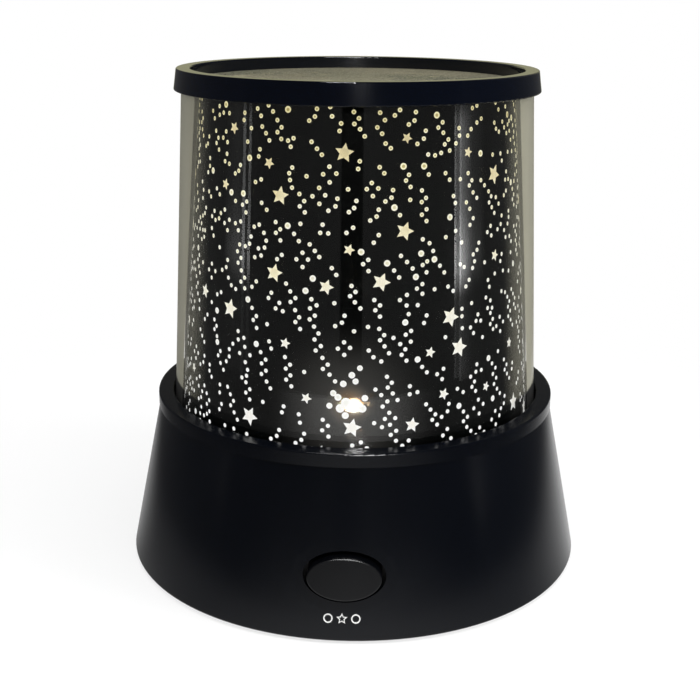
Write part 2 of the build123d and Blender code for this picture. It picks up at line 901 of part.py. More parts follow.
def star_film():
    """Printed film rolled into a cone inside the clear cover."""
    return turned(
        [
            (film_radius(cover_bottom), cover_bottom),
            (film_radius(groove_top), groove_top),
            (film_radius(groove_top) - film_thickness, groove_top),
            (film_radius(cover_bottom) - film_thickness, cover_bottom),
        ]
    )


def film_ring():
    """Carrier ring: a flat foot under the cover and film, and a low wall inside the film."""
    top = cover_bottom + film_ring_height
    foot_outer = cover_radius(cover_bottom) - film_ring_outer_gap
    wall_low = film_radius(cover_bottom) - film_thickness - film_ring_play
    wall_high = film_radius(top) - film_thickness - film_ring_play
    inner = wall_low - film_ring_wall - film_ring_lip
    return turned(
        [
            (inner, well_floor_top),
            (foot_outer, well_floor_top),
            (foot_outer, cover_bottom),
            (wall_low, cover_bottom),
            (wall_high, top),
            (wall_high - film_ring_wall, top),
            (wall_low - film_ring_wall, cover_bottom),
            (inner, cover_bottom),
        ]
    )


def ring_groove(outer, wall):
    """Circular groove in the cap's underside for an edge of the given outside radius and wall."""
    cutter = rod(outer + cap_groove_play, cap_band_bottom - 1, groove_top)
    return cutter - rod(outer - wall - cap_groove_play, cap_band_bottom - 1, groove_top)


def cap_ring():
    """Cap ring: sloped band, flat rim, recess with a shelf, and grooves for the cover and film."""
    ring = turned(
        [
            (cap_shelf_radius, cap_band_bottom),
            (cap_lower_radius, cap_band_bottom),
            (cap_upper_radius, cap_top),
            (cap_rim_inner_radius, cap_top),
            (cap_rim_inner_radius, shelf_top),
            (cap_shelf_radius, shelf_top),
        ],
        [
            (cap_lower_radius, cap_band_bottom, cap_edge_round),
            (cap_upper_radius, cap_top, cap_edge_round),
            (cap_rim_inner_radius, cap_top, cap_edge_round),
        ],
    )
    ring -= ring_groove(cover_radius(cap_band_bottom), cover_wall)
    ring -= ring_groove(film_radius(cap_band_bottom), film_thickness)
    return ring


def top_film():
    """Disc of star film under the top window."""
    return rod(cap_rim_inner_radius - window_play, shelf_top, window_bottom)


def top_window():
    """Clear disc set in the cap's recess."""
    return rod(cap_rim_inner_radius - window_play, window_bottom, window_top)


# ---- Files ----

os.makedirs("parts", exist_ok=True)

save("base_housing", base_housing())
save("bottom_plate", bottom_plate())
save("plate_screws", plate_screws())
for number, (foot_x, foot_y) in enumerate(on_circle(foot_circle_radius, foot_count), 1):
    save(f"foot_{number}", foot(foot_x, foot_y))
for number, row in enumerate(cell_rows(), 1):
    save(f"battery_cell_{number}", battery_cell(number, row))
    save(f"battery_contact_{number}", battery_contact(number, row))
    save(f"battery_spring_{number}", battery_spring(number, row))
save("battery_door", battery_door())
save("button_cap", button_cap())
save("switch_plunger", switch_plunger())
save("switch_body", switch_body())
save("switch_pins", switch_pins())
save("switch_board", switch_board())
save("main_board", main_board())
save("board_screws", board_screws())
save("control_chip", control_chip())
for number, side in ((1, -1), (2, 1)):
    save(f"capacitor_{number}", capacitor(side))
save("resistors", resistors())
for number, (led_x, led_y) in enumerate(led_places(), 1):
    save(f"led_{number}", led(led_x, led_y))
save("led_legs", led_legs())
save("led_board", led_board())
save("led_board_screws", led_board_screws())
save("led_holder", led_holder())
save("dc_jack", dc_jack())
save("dc_jack_pin", dc_jack_pin())
save("dc_jack_nut", dc_jack_nut())
save("dc_jack_tags", dc_jack_tags())
save("clear_cover", clear_cover())
save("star_film", star_film())
save("film_ring", film_ring())
save("cap_ring", cap_ring())
save("top_film", top_film())
save("top_window", top_window())
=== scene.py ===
import math
import random

import bpy
from mathutils import Matrix, Vector


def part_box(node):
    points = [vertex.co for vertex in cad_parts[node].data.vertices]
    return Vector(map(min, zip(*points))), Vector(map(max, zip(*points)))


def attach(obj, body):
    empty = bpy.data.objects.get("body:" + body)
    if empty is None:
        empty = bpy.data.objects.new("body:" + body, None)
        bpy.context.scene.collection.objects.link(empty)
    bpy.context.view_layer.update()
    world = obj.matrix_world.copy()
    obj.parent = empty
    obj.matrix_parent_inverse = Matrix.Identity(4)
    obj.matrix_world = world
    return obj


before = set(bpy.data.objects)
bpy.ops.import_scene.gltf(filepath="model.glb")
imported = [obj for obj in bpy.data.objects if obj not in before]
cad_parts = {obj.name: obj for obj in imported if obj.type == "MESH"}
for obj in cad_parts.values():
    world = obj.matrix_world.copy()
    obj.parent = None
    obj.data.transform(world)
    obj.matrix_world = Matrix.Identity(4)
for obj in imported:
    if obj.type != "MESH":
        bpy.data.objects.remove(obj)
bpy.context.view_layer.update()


# ---- Camera ----
# A lens of fairly long focus, 29 cm before the lamp and 2 cm above its cap, looking down at it.
# It stands a little to the right, so the button shows just left of the middle.

SENSOR = 36.0
FOCAL_PIXELS = 1191.98
FRAME_PIXELS = 700
CAMERA_ASIDE = 0.00104
CAMERA_DISTANCE = 0.29073
CAMERA_HEIGHT = 0.14121
CAMERA_PITCH = 0.3021
CAMERA_ROLL = -0.0074
CAMERA_YAW = 0.0081
LAMP_TURN = math.radians(1.85)


def camera_matrix():
    """Where the camera stands and which way it looks."""
    right = Vector((math.cos(CAMERA_YAW), math.sin(CAMERA_YAW), 0))
    level = Vector((-math.sin(CAMERA_YAW), math.cos(CAMERA_YAW), 0))
    drop = Vector((0, 0, -math.sin(CAMERA_PITCH)))
    forward = math.cos(CAMERA_PITCH) * level + drop
    up = Vector((0, 0, math.cos(CAMERA_PITCH))) + math.sin(CAMERA_PITCH) * level
    across = math.cos(CAMERA_ROLL) * right - math.sin(CAMERA_ROLL) * up
    upright = math.sin(CAMERA_ROLL) * right + math.cos(CAMERA_ROLL) * up
    turn = Matrix((across, upright, -forward)).transposed().to_4x4()
    stand = Matrix.Translation((CAMERA_ASIDE, -CAMERA_DISTANCE, CAMERA_HEIGHT))
    return Matrix.Rotation(LAMP_TURN, 4, "Z") @ stand @ turn


def bring_in(name, data):
    """A new object in the scene, for a lens, a lamp or a mesh."""
    thing = bpy.data.objects.new(name, data)
    bpy.context.scene.collection.objects.link(thing)
    return thing


lens = bpy.data.cameras.new("camera")
lens.sensor_width = SENSOR
lens.lens = FOCAL_PIXELS / FRAME_PIXELS * SENSOR
lens.clip_start = 0.01
lens.clip_end = 20
camera = bring_in("camera", lens)
camera.matrix_world = camera_matrix()
bpy.context.scene.camera = camera
bpy.context.scene.view_settings.view_transform = "Standard"


# ---- Table and studio ----
# A white table top that runs out into a white room, with soft lamps beside and above it. In a
# polished face the room is dim, but for two tall boxes and a wall of olive grey behind.

TABLE_RADIUS = 0.26
TABLE_FADE = (0.10, 0.20)
TABLE_GLOW = 0.72
TABLE_NEAR = (0.085, 0.14)
PAINTED_GLOW_REACH = (0.045, 0.056)
PAINTED_REFLECTION_PLAIN = 0.08
PAINTED_REFLECTION_LEFT = 0.44
PAINTED_REFLECTION_RIGHT = 0.8
PAINTED_REFLECTION_NEAR = 0.42
PAINTED_REFLECTION_FRONT = 0.5
PAINTED_REFLECTION_BACK = 0.6
PAINTED_REFLECTION_SLANT = 600.0
PAINTED_REFLECTION_SLANT_START = 0.088
ROOM_TONE = (0.085, 0.085, 0.085)
WALL_TONE = (0.42, 0.41, 0.26)
WALL_BEARING = (161.0, 170.0)
WALL_HEIGHT = (-30.0, 10.0)
ROOM_FILL = 0.45
ONLOOKER_BEARING = (-9.4, 4.3)
ONLOOKER_HEIGHT = (-12.0, 8.0)
BOX_LIGHT = (8, 8, 8)
BOX_HAZE = 0.2
RIGHT_FRAME = (67.0, 68.4)
RIGHT_CLOTH = (69.0, 78.0)
RIGHT_CLOTH_END = (82.0, 88.0)
RIGHT_SIDE = (66.7, 67.3)
LEFT_FRAME = (-75.0, -72.8)
LEFT_CLOTH = (-88.0, -75.0)
BOX_FOOT = (3.5, 9.0)
BOX_BOTTOM = (8.2, 10.2)
BOX_TOP = (-2.2, -0.6)
CEILING = (35.0, 50.0)


class Wire:
    """A value inside a material. Sums on it add Math nodes, and node() adds any other node."""

    def __init__(self, tree, socket=None):
        self.tree = tree
        self.socket = socket

    def node(self, kind, settings=(), inputs=(), output=0):
        made = self.tree.nodes.new("ShaderNode" + kind)
        for name, value in dict(settings).items():
            if name == "stops":
                ramp = made.color_ramp
                ramp.elements[0].position = value[0][0]
                ramp.elements[0].color = (*value[0][1], 1)
                ramp.elements[-1].position = value[-1][0]
                ramp.elements[-1].color = (*value[-1][1], 1)
                for place, colour in value[1:-1]:
                    ramp.elements.new(place).color = (*colour, 1)
            else:
                setattr(made, name, value)
        for name, value in dict(inputs).items():
            socket = made.inputs[name]
            if isinstance(value, Wire):
                self.tree.links.new(value.socket, socket)
            elif socket.type == "RGBA":
                socket.default_value = (*value, 1)
            else:
                socket.default_value = value
        return Wire(self.tree, made.outputs[output])

    def math(self, operation, *values):
        return self.node("Math", {"operation": operation}, enumerate(values))

    def __add__(self, other):
        return self.math("ADD", self, other)

    def __sub__(self, other):
        return self.math("SUBTRACT", self, other)

    def __mul__(self, other):
        return self.math("MULTIPLY", self, other)

    def __truediv__(self, other):
        return self.math("DIVIDE", self, other)

    def __pow__(self, other):
        return self.math("POWER", self, other)

    def __neg__(self):
        return self.math("MULTIPLY", self, -1.0)

    def __rsub__(self, other):
        return self.math("SUBTRACT", other, self)

    def __rtruediv__(self, other):
        return self.math("DIVIDE", other, self)

    __radd__ = __add__
    __rmul__ = __mul__


def step_up(value, low, high):
    """0 below low, 1 above high, and smooth between."""
    return value.node(
        "MapRange", {"interpolation_type": "SMOOTHSTEP"},
        {"Value": value, "From Min": low, "From Max": high},
    )


def between(value, low, high, soft):
    """1 from low to high, with a soft edge on each side."""
    return step_up(value, low - soft, low + soft) * (1 - step_up(value, high - soft, high + soft))


def mixed(low, high, share, tree):
    """A colour between two colours."""
    return tree.node("Mix", {"data_type": "RGBA"}, {0: share, 6: low, 7: high}, output=2)


def new_material(name):
    """An empty material, and the wire that its nodes start from."""
    material = bpy.data.materials.new(name)
    material.use_nodes = True
    material.node_tree.nodes.clear()
    return material, Wire(material.node_tree)


def clear_sheet(start, tint):
    """A face that lets the ray through unbent, with a faint tint."""
    return start.node("BsdfTransparent", (), {"Color": tint})


def layered(start, share, under, over):
    """Two shaders on one face, with the share that the upper one takes."""
    return start.node("MixShader", (), {0: share, 1: under, 2: over})


def surface(start, shader):
    """Makes a shader the material's surface."""
    out = start.tree.nodes.new("ShaderNodeOutputMaterial")
    start.tree.links.new(shader.socket, out.inputs["Surface"])


def ray_kinds(start):
    """1 for a ray straight from the eye or through glass, and 1 for a ray off a polished face."""
    straight = start.node("LightPath", output="Is Camera Ray")
    through = start.node("LightPath", output="Is Transmission Ray")
    mirrored = start.node("LightPath", output="Is Glossy Ray")
    return straight.math("MAXIMUM", straight, through), mirrored


def bearing(x, y):
    """The bearing from the lamp in degrees, 0 before the camera and plus to the right, and its size."""
    azimuth = x.math("ARCTAN2", x, -y) * math.degrees(1) - math.degrees(LAMP_TURN)
    return azimuth, azimuth.math("ABSOLUTE", azimuth)


def object_place(start):
    """The place on the object as three wires, in metres."""
    place = start.node("TexCoord", output="Object")
    return [start.node("SeparateXYZ", (), {0: place}, output=i) for i in range(3)]


def table_material():
    """White lacquer. Polished faces see painted reflection tones on it, and near the lamp it gives a
    painted grey glow to bounced light. From below it is clear, to show the feet.
    """
    material, start = new_material("white_table_top")
    x, y, _ = object_place(start)
    away = (x * x + y * y).math("SQRT", x * x + y * y)
    grain = start.node("TexNoise", (), {"Scale": 900.0, "Detail": 3.0})
    paint = mixed((0.88, 0.88, 0.88), (0.93, 0.93, 0.93), grain, start)
    lit = start.node("BsdfDiffuse", (), {"Color": paint})
    seen, mirrored = ray_kinds(start)
    azimuth, aside = bearing(x, y)
    # Painted reflection: the tones that polished faces see in the table, lighter to the left and right,
    # in front, behind and near the lamp.
    near = (1 - step_up(aside, 20.0, 125.0)) * (1 - step_up(away, *TABLE_NEAR))
    front = 1 - step_up(aside, 4.0, 50.0)
    further = PAINTED_REFLECTION_SLANT * (away - PAINTED_REFLECTION_SLANT_START)
    left = step_up(-azimuth - further, 86.0, 122.0)
    right = step_up(azimuth - further, 60.0, 116.0)
    painted_tone = PAINTED_REFLECTION_PLAIN + PAINTED_REFLECTION_LEFT * left + PAINTED_REFLECTION_RIGHT * right + PAINTED_REFLECTION_NEAR * near + PAINTED_REFLECTION_FRONT * front
    painted_tone = painted_tone + (PAINTED_REFLECTION_BACK - painted_tone) * step_up(aside, 135.0, 178.0)
    painted_tone = mixed((0, 0, 0), (1, 1, 1), painted_tone, start)
    # Painted glow: near the lamp the table shows grey light to diffuse rays, standing in for light
    # bounced up onto the lamp's lower faces.
    painted_under_glow = start.node("LightPath", output="Is Diffuse Ray") * (1 - step_up(away, *PAINTED_GLOW_REACH))
    shown = mixed(painted_tone, (0.6, 0.6, 0.6), painted_under_glow, start)
    shown = mixed(shown, (1, 1, 1), seen, start)
    glow = start.node("Emission", (), {"Color": shown, "Strength": 1.0})
    plain = TABLE_GLOW + (1 - TABLE_GLOW) * step_up(away, *TABLE_FADE)
    share = plain * seen + mirrored + painted_under_glow
    top = layered(start, share, lit, glow)
    from_below = start.node("NewGeometry", output="Backfacing")
    surface(start, layered(start, from_below, top, clear_sheet(start, (1, 1, 1))))
    return material


table_mesh = bpy.data.meshes.new("table")
table_sides = 96
table_rim = [
    (TABLE_RADIUS * math.cos(2 * math.pi * i / table_sides),
     TABLE_RADIUS * math.sin(2 * math.pi * i / table_sides), 0)
    for i in range(table_sides)
]
table_mesh.from_pydata(table_rim, [], [list(range(table_sides))])
table = bring_in("table", table_mesh)
table_mesh.materials.append(table_material())


def studio_room():
    """Polished faces mirror a dim room, a wall and two tall boxes, which only a sharp mirror shows
    at full strength. Dull faces take an even grey from it, and the eye sees white."""
    room = bpy.data.worlds.new("studio")
    bpy.context.scene.world = room
    room.use_nodes = True
    room.node_tree.nodes.clear()
    start = Wire(room.node_tree)
    way = start.node("TexCoord", output="Generated")
    x, y, z = [start.node("SeparateXYZ", (), {0: way}, output=i) for i in range(3)]
    azimuth, aside = bearing(x, y)
    height = z.math("ARCSINE", z) * math.degrees(1)
    wall = step_up(aside, *WALL_BEARING) * between(height, *WALL_HEIGHT, 2.0)
    light = mixed(ROOM_TONE, WALL_TONE, wall, start)
    onlooker = between(azimuth, *ONLOOKER_BEARING, 0.4) * between(height, *ONLOOKER_HEIGHT, 1.0)
    light = mixed(light, (0.005, 0.005, 0.005), onlooker, start)
    light = mixed(light, (0.02, 0.02, 0.022), step_up(height, *CEILING), start)
    foot = step_up(-height, *BOX_FOOT)
    foot = foot * foot
    box_ends = (1 - 0.95 * step_up(-height, *BOX_BOTTOM)) * (1 - 0.92 * step_up(height, *BOX_TOP))
    right_frame = 1.3 * between(azimuth, *RIGHT_FRAME, 0.3)
    right_cloth = 1.1 - 1.1 * step_up(azimuth, *RIGHT_CLOTH)
    right_cloth = right_cloth + 0.12 - 0.12 * step_up(azimuth, *RIGHT_CLOTH_END)
    right_box = (right_frame + right_cloth * step_up(azimuth, *RIGHT_SIDE)) * (0.125 + 0.36 * foot)
    left_frame = between(azimuth, *LEFT_FRAME, 0.3) * (0.16 + 0.2 * foot)
    left_cloth = between(azimuth, *LEFT_CLOTH, 3.0) * (0.01 + 0.05 * foot)
    sharp = BOX_HAZE + (1 - BOX_HAZE) * start.node("LightPath", output="Is Singular Ray")
    boxes = (right_box + left_frame + left_cloth) * box_ends * sharp
    light = mixed(light, BOX_LIGHT, boxes, start)
    seen, mirrored = ray_kinds(start)
    fill = mixed((ROOM_FILL, ROOM_FILL, ROOM_FILL), light, mirrored, start)
    white = mixed(fill, (1, 1, 1), seen, start)
    shown = start.node("Background", (), {"Color": white, "Strength": 1.0})
    out = room.node_tree.nodes.new("ShaderNodeOutputWorld")
    room.node_tree.links.new(shown.socket, out.inputs["Surface"])


studio_room()


def soft_box(name, place, aim, width, height, power, mirrored=False):
    """A flat soft lamp that faces a point. A mirrored one makes highlights only, and the others
    light the faces' own colour only."""
    lamp = bpy.data.lights.new(name, "AREA")
    lamp.shape = "RECTANGLE"
    lamp.size = width
    lamp.size_y = height
    lamp.energy = power
    holder = bring_in(name, lamp)
    holder.location = place
    holder.rotation_euler = (Vector(aim) - Vector(place)).to_track_quat("-Z", "Y").to_euler()
    holder.visible_glossy = mirrored
    holder.visible_diffuse = not mirrored
    holder.visible_camera = False


LAMP_MIDDLE = (0, 0, 0.06)
soft_box("box_above", (0.1, -0.15, 0.75), LAMP_MIDDLE, 0.5, 0.5, 4.0)
soft_box("box_right", (0.7, -0.25, 0.30), LAMP_MIDDLE, 0.3, 0.6, 5.0)
soft_box("box_left", (-0.7, -0.15, 0.30), LAMP_MIDDLE, 0.3, 0.6, 2.0)
soft_box("box_over_camera", (0.06, -0.85, 0.40), LAMP_MIDDLE, 0.14, 0.12, 3.6, mirrored=True)
soft_box("box_overhead", (0.03, -0.42, 0.72), LAMP_MIDDLE, 0.46, 0.14, 9.0, mirrored=True)


# ---- Base housing ----
# A black ABS shell moulded in one shot: cone wall, rim and well. The mould leaves a satin skin
# with a very fine grain, faint flow marks and a slightly uneven gloss.

def dress(material, *names):
    """Gives one material to CAD nodes."""
    for name in names:
        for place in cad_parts[name].material_slots:
            place.material = material


def noise(start, scale, detail=2.0):
    """Unevenness all through the object, from 0 to 1."""
    place = start.node("TexCoord", output="Object")
    return start.node("TexNoise", (), {"Vector": place, "Scale": scale, "Detail": detail})


def bumpy(start, height, strength, distance):
    """A surface normal that leans with the slope of a height."""
    return start.node("Bump", (), {"Height": height, "Strength": strength, "Distance": distance})


def coat(start, paint, rough, **more):
    """A solid face, from its colour and roughness and whatever else it needs."""
    return start.node("BsdfPrincipled", (), {"Base Color": paint, "Roughness": rough, **more})


def moulded(name, dark, light, rough, grain_size, grain_depth, mottle=0.04, **constants):
    """Moulded plastic: a fine grain in its skin, faint flow marks, and slightly uneven gloss."""
    material, start = new_material(name)
    flow = noise(start, 55.0, 4.0)
    grain = noise(start, 1.0 / grain_size)
    paint = mixed(dark, light, flow, start)
    gloss = rough + mottle * (flow - 0.5) * 2 + 0.5 * mottle * (grain - 0.5)
    skin = bumpy(start, grain, 0.35, grain_depth)
    surface(start, coat(start, paint, gloss, Normal=skin, **constants))
    return material


housing_skin = moulded(
    "housing_satin_black", (0.0006, 0.0011, 0.0025), (0.0011, 0.0017, 0.0035),
    0.2, 0.00028, 0.000007, mottle=0.03, **{"Specular IOR Level": 0.27},
)
dress(housing_skin, "base_housing")


# ---- Bottom plate, feet and screws ----
# The plate is the same black ABS with a coarser matt grain, set into the housing from below.
# Four rubber discs sit in its recesses, and four zinc-plated pan-head screws hold it.

plate_skin = moulded(
    "plate_matt_black", (0.007, 0.007, 0.0075), (0.012, 0.012, 0.0125), 0.55, 0.0006, 0.00004,
)
dress(plate_skin, "bottom_plate", "battery_door")

rubber = moulded(
    "foot_rubber", (0.018, 0.018, 0.018), (0.03, 0.03, 0.029), 0.8, 0.0004, 0.00003,
)
dress(rubber, "foot_1", "foot_2", "foot_3", "foot_4")


def plated(name, dark, light, rough, streak):
    """Plated metal: a thin uneven coat, with brushing along X."""
    material, start = new_material(name)
    place = start.node("TexCoord", output="Object")
    drawn = start.node("Mapping", (), {"Vector": place, "Scale": (1.0, streak, streak)})
    brush = start.node("TexNoise", (), {"Vector": drawn, "Scale": 700.0, "Detail": 4.0})
    paint = mixed(dark, light, brush, start)
    gloss = rough + 0.12 * (brush - 0.5)
    skin = bumpy(start, brush, 0.2, 0.00001)
    surface(start, coat(start, paint, gloss, Metallic=1.0, Normal=skin))
    return material


screw_zinc = plated("screw_zinc", (0.42, 0.43, 0.45), (0.62, 0.62, 0.62), 0.32, 1.0)
dress(screw_zinc, "plate_screws", "board_screws", "led_board_screws")


# ---- Batteries and their contacts ----
# Three AA cells in printed shrink sleeves with bare steel ends, each held between a nickel-plated
# contact plate and a plate with a coil spring, at the end walls of the bay.

SLEEVE_GREY = (0.66, 0.665)
SLEEVE_LINE = (0.64, 0.65)
SLEEVE_ENDS = (0.012, 0.965)


def cell_material(index):
    """Shrink sleeve in dark blue and grey, with bare steel at both ends."""
    low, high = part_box(f"battery_cell_{index}")
    nub_right = index % 2 == 1
    material, start = new_material(f"cell_sleeve_{index}")
    x = object_place(start)[0]
    along = (x - low.x) / (high.x - low.x) if nub_right else (high.x - x) / (high.x - low.x)
    wrinkle = noise(start, 420.0, 3.0)
    band = step_up(along, *SLEEVE_GREY)
    line = between(along, *SLEEVE_LINE, 0.002)
    sleeve = mixed((0.012, 0.03, 0.075), (0.33, 0.34, 0.35), band, start)
    sleeve = mixed(sleeve, (0.75, 0.74, 0.7), line, start)
    bare = 1 - between(along, *SLEEVE_ENDS, 0.003)
    paint = mixed(sleeve, (0.6, 0.6, 0.6), bare, start)
    skin = bumpy(start, wrinkle, 0.2, 0.00003)
    surface(start, coat(start, paint, 0.24 + 0.16 * wrinkle, Metallic=bare, Normal=skin))
    return material


for index in (1, 2, 3):
    dress(cell_material(index), f"battery_cell_{index}")

nickel = plated("contact_nickel", (0.5, 0.48, 0.44), (0.66, 0.64, 0.6), 0.25, 6.0)
dress(nickel, *[f"battery_{kind}_{i}" for kind in ("contact", "spring") for i in (1, 2, 3)])


# ---- Push button and switch ----
# The oval key is ABS with a satin face of very fine grain. It pushes a white plunger in a latching
# switch that is soldered to a small upright board behind it, and a mark is printed under it.

button_skin = moulded(
    "button_black", (0.0006, 0.0008, 0.0014), (0.001, 0.0012, 0.002), 0.28, 0.0003, 0.000012,
    **{"Specular IOR Level": 0.33},
)
dress(button_skin, "button_cap")

switch_skin = moulded(
    "switch_plastic", (0.02, 0.02, 0.021), (0.032, 0.032, 0.033), 0.45, 0.0004, 0.00002,
)
dress(switch_skin, "switch_body")

plunger_skin = moulded(
    "plunger_white", (0.66, 0.65, 0.6), (0.74, 0.73, 0.69), 0.42, 0.0005, 0.00002,
)
dress(plunger_skin, "switch_plunger")

pin_tin = plated("pin_tin", (0.55, 0.55, 0.54), (0.75, 0.74, 0.72), 0.3, 1.0)
dress(pin_tin, "switch_pins", "led_legs", "dc_jack_tags")


WALL_FOOT = (0.0575, 0.0006)
WALL_NECK = (0.0496, 0.0389)
MARK_HEIGHT = 0.0058
MARK_ASIDE = -0.0004
MARK_SPACING = 0.0031
MARK_RING = (0.00105, 0.00105, 16, 0.72)
MARK_STAR = (0.0013, 0.00062, 5, 0.62)
INK_LIFT = 0.00003
mark_paint = moulded(
    "mark_white_paint", (0.66, 0.66, 0.65), (0.8, 0.8, 0.78), 0.5, 0.0002, 0.00001,
)


def on_wall(across, height, lift):
    """A place on the front of the cone wall, from its distance to the middle line and its height."""
    share = (height - WALL_FOOT[1]) / (WALL_NECK[1] - WALL_FOOT[1])
    radius = WALL_FOOT[0] + share * (WALL_NECK[0] - WALL_FOOT[0])
    angle = -math.pi / 2 + across / radius
    return ((radius + lift) * math.cos(angle), (radius + lift) * math.sin(angle), height)


def star_outline(outer, inner, points):
    """The corners of a star, or of a circle where both radii are the same."""
    corners = []
    for i in range(2 * points):
        reach = inner if i % 2 else outer
        angle = math.pi / 2 + math.pi * i / points
        corners.append((reach * math.cos(angle), reach * math.sin(angle)))
    return corners


def printed_mark():
    """A small star between two rings, each a closed ribbon of paint sunk half into the wall."""
    points, faces = [], []
    for spot, (outer, inner, count, thin) in enumerate((MARK_RING, MARK_STAR, MARK_RING)):
        aside = MARK_ASIDE + (spot - 1) * MARK_SPACING
        line = star_outline(outer, inner, count)
        sides = len(line)
        first = len(points)
        for scale, lift in ((1.0, -INK_LIFT), (1.0, INK_LIFT), (thin, INK_LIFT), (thin, -INK_LIFT)):
            points += [on_wall(aside + scale * u, MARK_HEIGHT + scale * v, lift) for u, v in line]
        for loop in range(4):
            for i in range(sides):
                a, b = first + loop * sides, first + (loop + 1) % 4 * sides
                faces.append((a + i, a + (i + 1) % sides, b + (i + 1) % sides, b + i))
    mesh = bpy.data.meshes.new("button_mark")
    mesh.from_pydata(points, [], faces)
    mesh.materials.append(mark_paint)
    mark = bring_in("button_mark", mesh)
    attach(mark, "base")


printed_mark()


# ---- Circuit boards and their parts ----
# Green fibreglass laminate with copper tracks under the lacquer, carrying one chip,
# two sleeved capacitors and a row of colour-banded resistors.

def laminate():
    """Green lacquer over glass weave, raised a little where the copper tracks run."""
    material, start = new_material("board_laminate")
    place = start.node("TexCoord", output="Object")
    weave = noise(start, 2600.0, 1.0)
    cells = start.node(
        "TexVoronoi", {"feature": "DISTANCE_TO_EDGE"}, {"Vector": place, "Scale": 230.0}
    )
    track = 1 - step_up(cells, 0.055, 0.075)
    lacquer = mixed((0.008, 0.075, 0.028), (0.013, 0.1, 0.038), weave, start)
    paint = mixed(lacquer, (0.03, 0.2, 0.06), track, start)
    skin = bumpy(start, track, 0.3, 0.00004)
    surface(start, coat(start, paint, 0.35 + 0.1 * weave, Normal=skin))
    return material


dress(laminate(), "switch_board", "main_board", "led_board")
chip_skin = moulded("chip_epoxy", (0.012, 0.012, 0.012), (0.02, 0.02, 0.02), 0.5, 0.0002, 0.00001)
dress(chip_skin, "control_chip")


def capacitor_material(name):
    """Sleeve with a pale stripe down one side and a bare aluminium top."""
    low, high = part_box(name)
    material, start = new_material(f"{name}_sleeve")
    x, y, z = object_place(start)
    middle = (low + high) / 2
    angle = x.math("ARCTAN2", y - middle.y, x - middle.x)
    stripe = between(angle, 0.9, 1.7, 0.03)
    top = step_up(z, high.z - 0.0002, high.z - 0.00015)
    scuff = noise(start, 900.0)
    sleeve = mixed((0.01, 0.016, 0.05), (0.45, 0.46, 0.5), stripe, start)
    paint = mixed(sleeve, (0.7, 0.7, 0.71), top, start)
    surface(start, coat(start, paint, 0.25 + 0.2 * scuff, Metallic=top))
    return material


for name in ("capacitor_1", "capacitor_2"):
    dress(capacitor_material(name), name)


RESISTOR_COAT = (0.42, 0.3, 0.16)
RESISTOR_BAND = 0.45
RESISTOR_BANDS = (
    (-1.7, (0.16, 0.05, 0.02)), (-0.7, (0.006, 0.006, 0.006)),
    (0.3, (0.5, 0.03, 0.02)), (1.8, (0.5, 0.33, 0.06)),
)


def resistor_material():
    """Tan coat with four colour bands, and tinned leads."""
    low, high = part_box("resistors")
    middle_y = (low.y + high.y) / 2
    material, start = new_material("resistor_coat")
    y = object_place(start)[1]
    along = (y - middle_y) * 1000
    lead = step_up(along.math("ABSOLUTE", along), 3.08, 3.12)
    paint = RESISTOR_COAT
    for place, colour in RESISTOR_BANDS:
        paint = mixed(paint, colour, between(along, place, place + RESISTOR_BAND, 0.03), start)
    paint = mixed(paint, (0.7, 0.7, 0.69), lead, start)
    speck = noise(start, 2000.0)
    surface(start, coat(start, paint, 0.3 + 0.15 * speck, Metallic=lead))
    return material


dress(resistor_material(), "resistors")


# ---- Lamps ----
# Four 5 mm round lamps in a black collar. The front one is lit: a warm white dome with an
# orange edge. The others are domes of milky epoxy, tinted amber, blue and green.

holder_skin = moulded("holder_black", (0.006, 0.006, 0.0065), (0.01, 0.01, 0.0105), 0.5, 0.0004, 0.00002)
dress(holder_skin, "led_holder")

LIT_STRENGTH = 85.0
MILKINESS = 0.72


def edge_on(start):
    """0 where a face looks straight at the eye, and 1 where the eye looks along it."""
    return start.node("LayerWeight", (), {"Blend": 0.5}, output="Facing")


def lit_lens():
    """The dome of the lamp that is on."""
    material, start = new_material("lamp_lit")
    haze = noise(start, 700.0)
    orange = step_up(edge_on(start) + 0.2 * (haze - 0.5), 0.35, 0.8)
    tint = mixed((1.0, 0.93, 0.78), (1.0, 0.42, 0.12), orange, start)
    glow = {"Emission Color": tint, "Emission Strength": LIT_STRENGTH}
    surface(start, coat(start, (0.85, 0.83, 0.76), 0.15 + 0.1 * haze, **glow))
    return material


def milky_lens(name, colour):
    """The dome of a lamp that is off."""
    material, start = new_material(name)
    haze = noise(start, 500.0)
    paint = mixed(tuple(0.8 * part for part in colour), colour, haze, start)
    body = coat(start, paint, 0.12 + 0.08 * haze)
    surface(start, layered(start, MILKINESS, clear_sheet(start, (0.95, 0.95, 0.95)), body))
    return material


dress(lit_lens(), "led_1")
dress(milky_lens("lamp_amber", (0.78, 0.62, 0.4)), "led_2")
dress(milky_lens("lamp_blue", (0.55, 0.62, 0.78)), "led_3")
dress(milky_lens("lamp_green", (0.56, 0.75, 0.58)), "led_4")


# ---- Power inlet ----
# A round black socket with a flange and a threaded barrel, let into the back of the base. A nickel
# pin stands in its blind bore, a brass hexagon nut sits behind the wall, and the tags are tinned.

jack_skin = moulded("jack_black", (0.008, 0.008, 0.0085), (0.014, 0.014, 0.0145), 0.38, 0.0004, 0.00002)
dress(jack_skin, "dc_jack")
dress(nickel, "dc_jack_pin")
brass = plated("nut_brass", (0.52, 0.4, 0.2), (0.66, 0.53, 0.3), 0.3, 1.0)
dress(brass, "dc_jack_nut")


# ---- Film ring ----
# A flat ring of the same black ABS with a low wall, which carries the tube and the film. It sits
# in the well of the base and lifts out with them.

dress(housing_skin, "film_ring")


# ---- Star film ----
# Thin black polyester printed with clear dots and stars, rolled into a cone and joined at the
# back with tape. The print glows by painted light, cream at the top and nearly white at the foot.

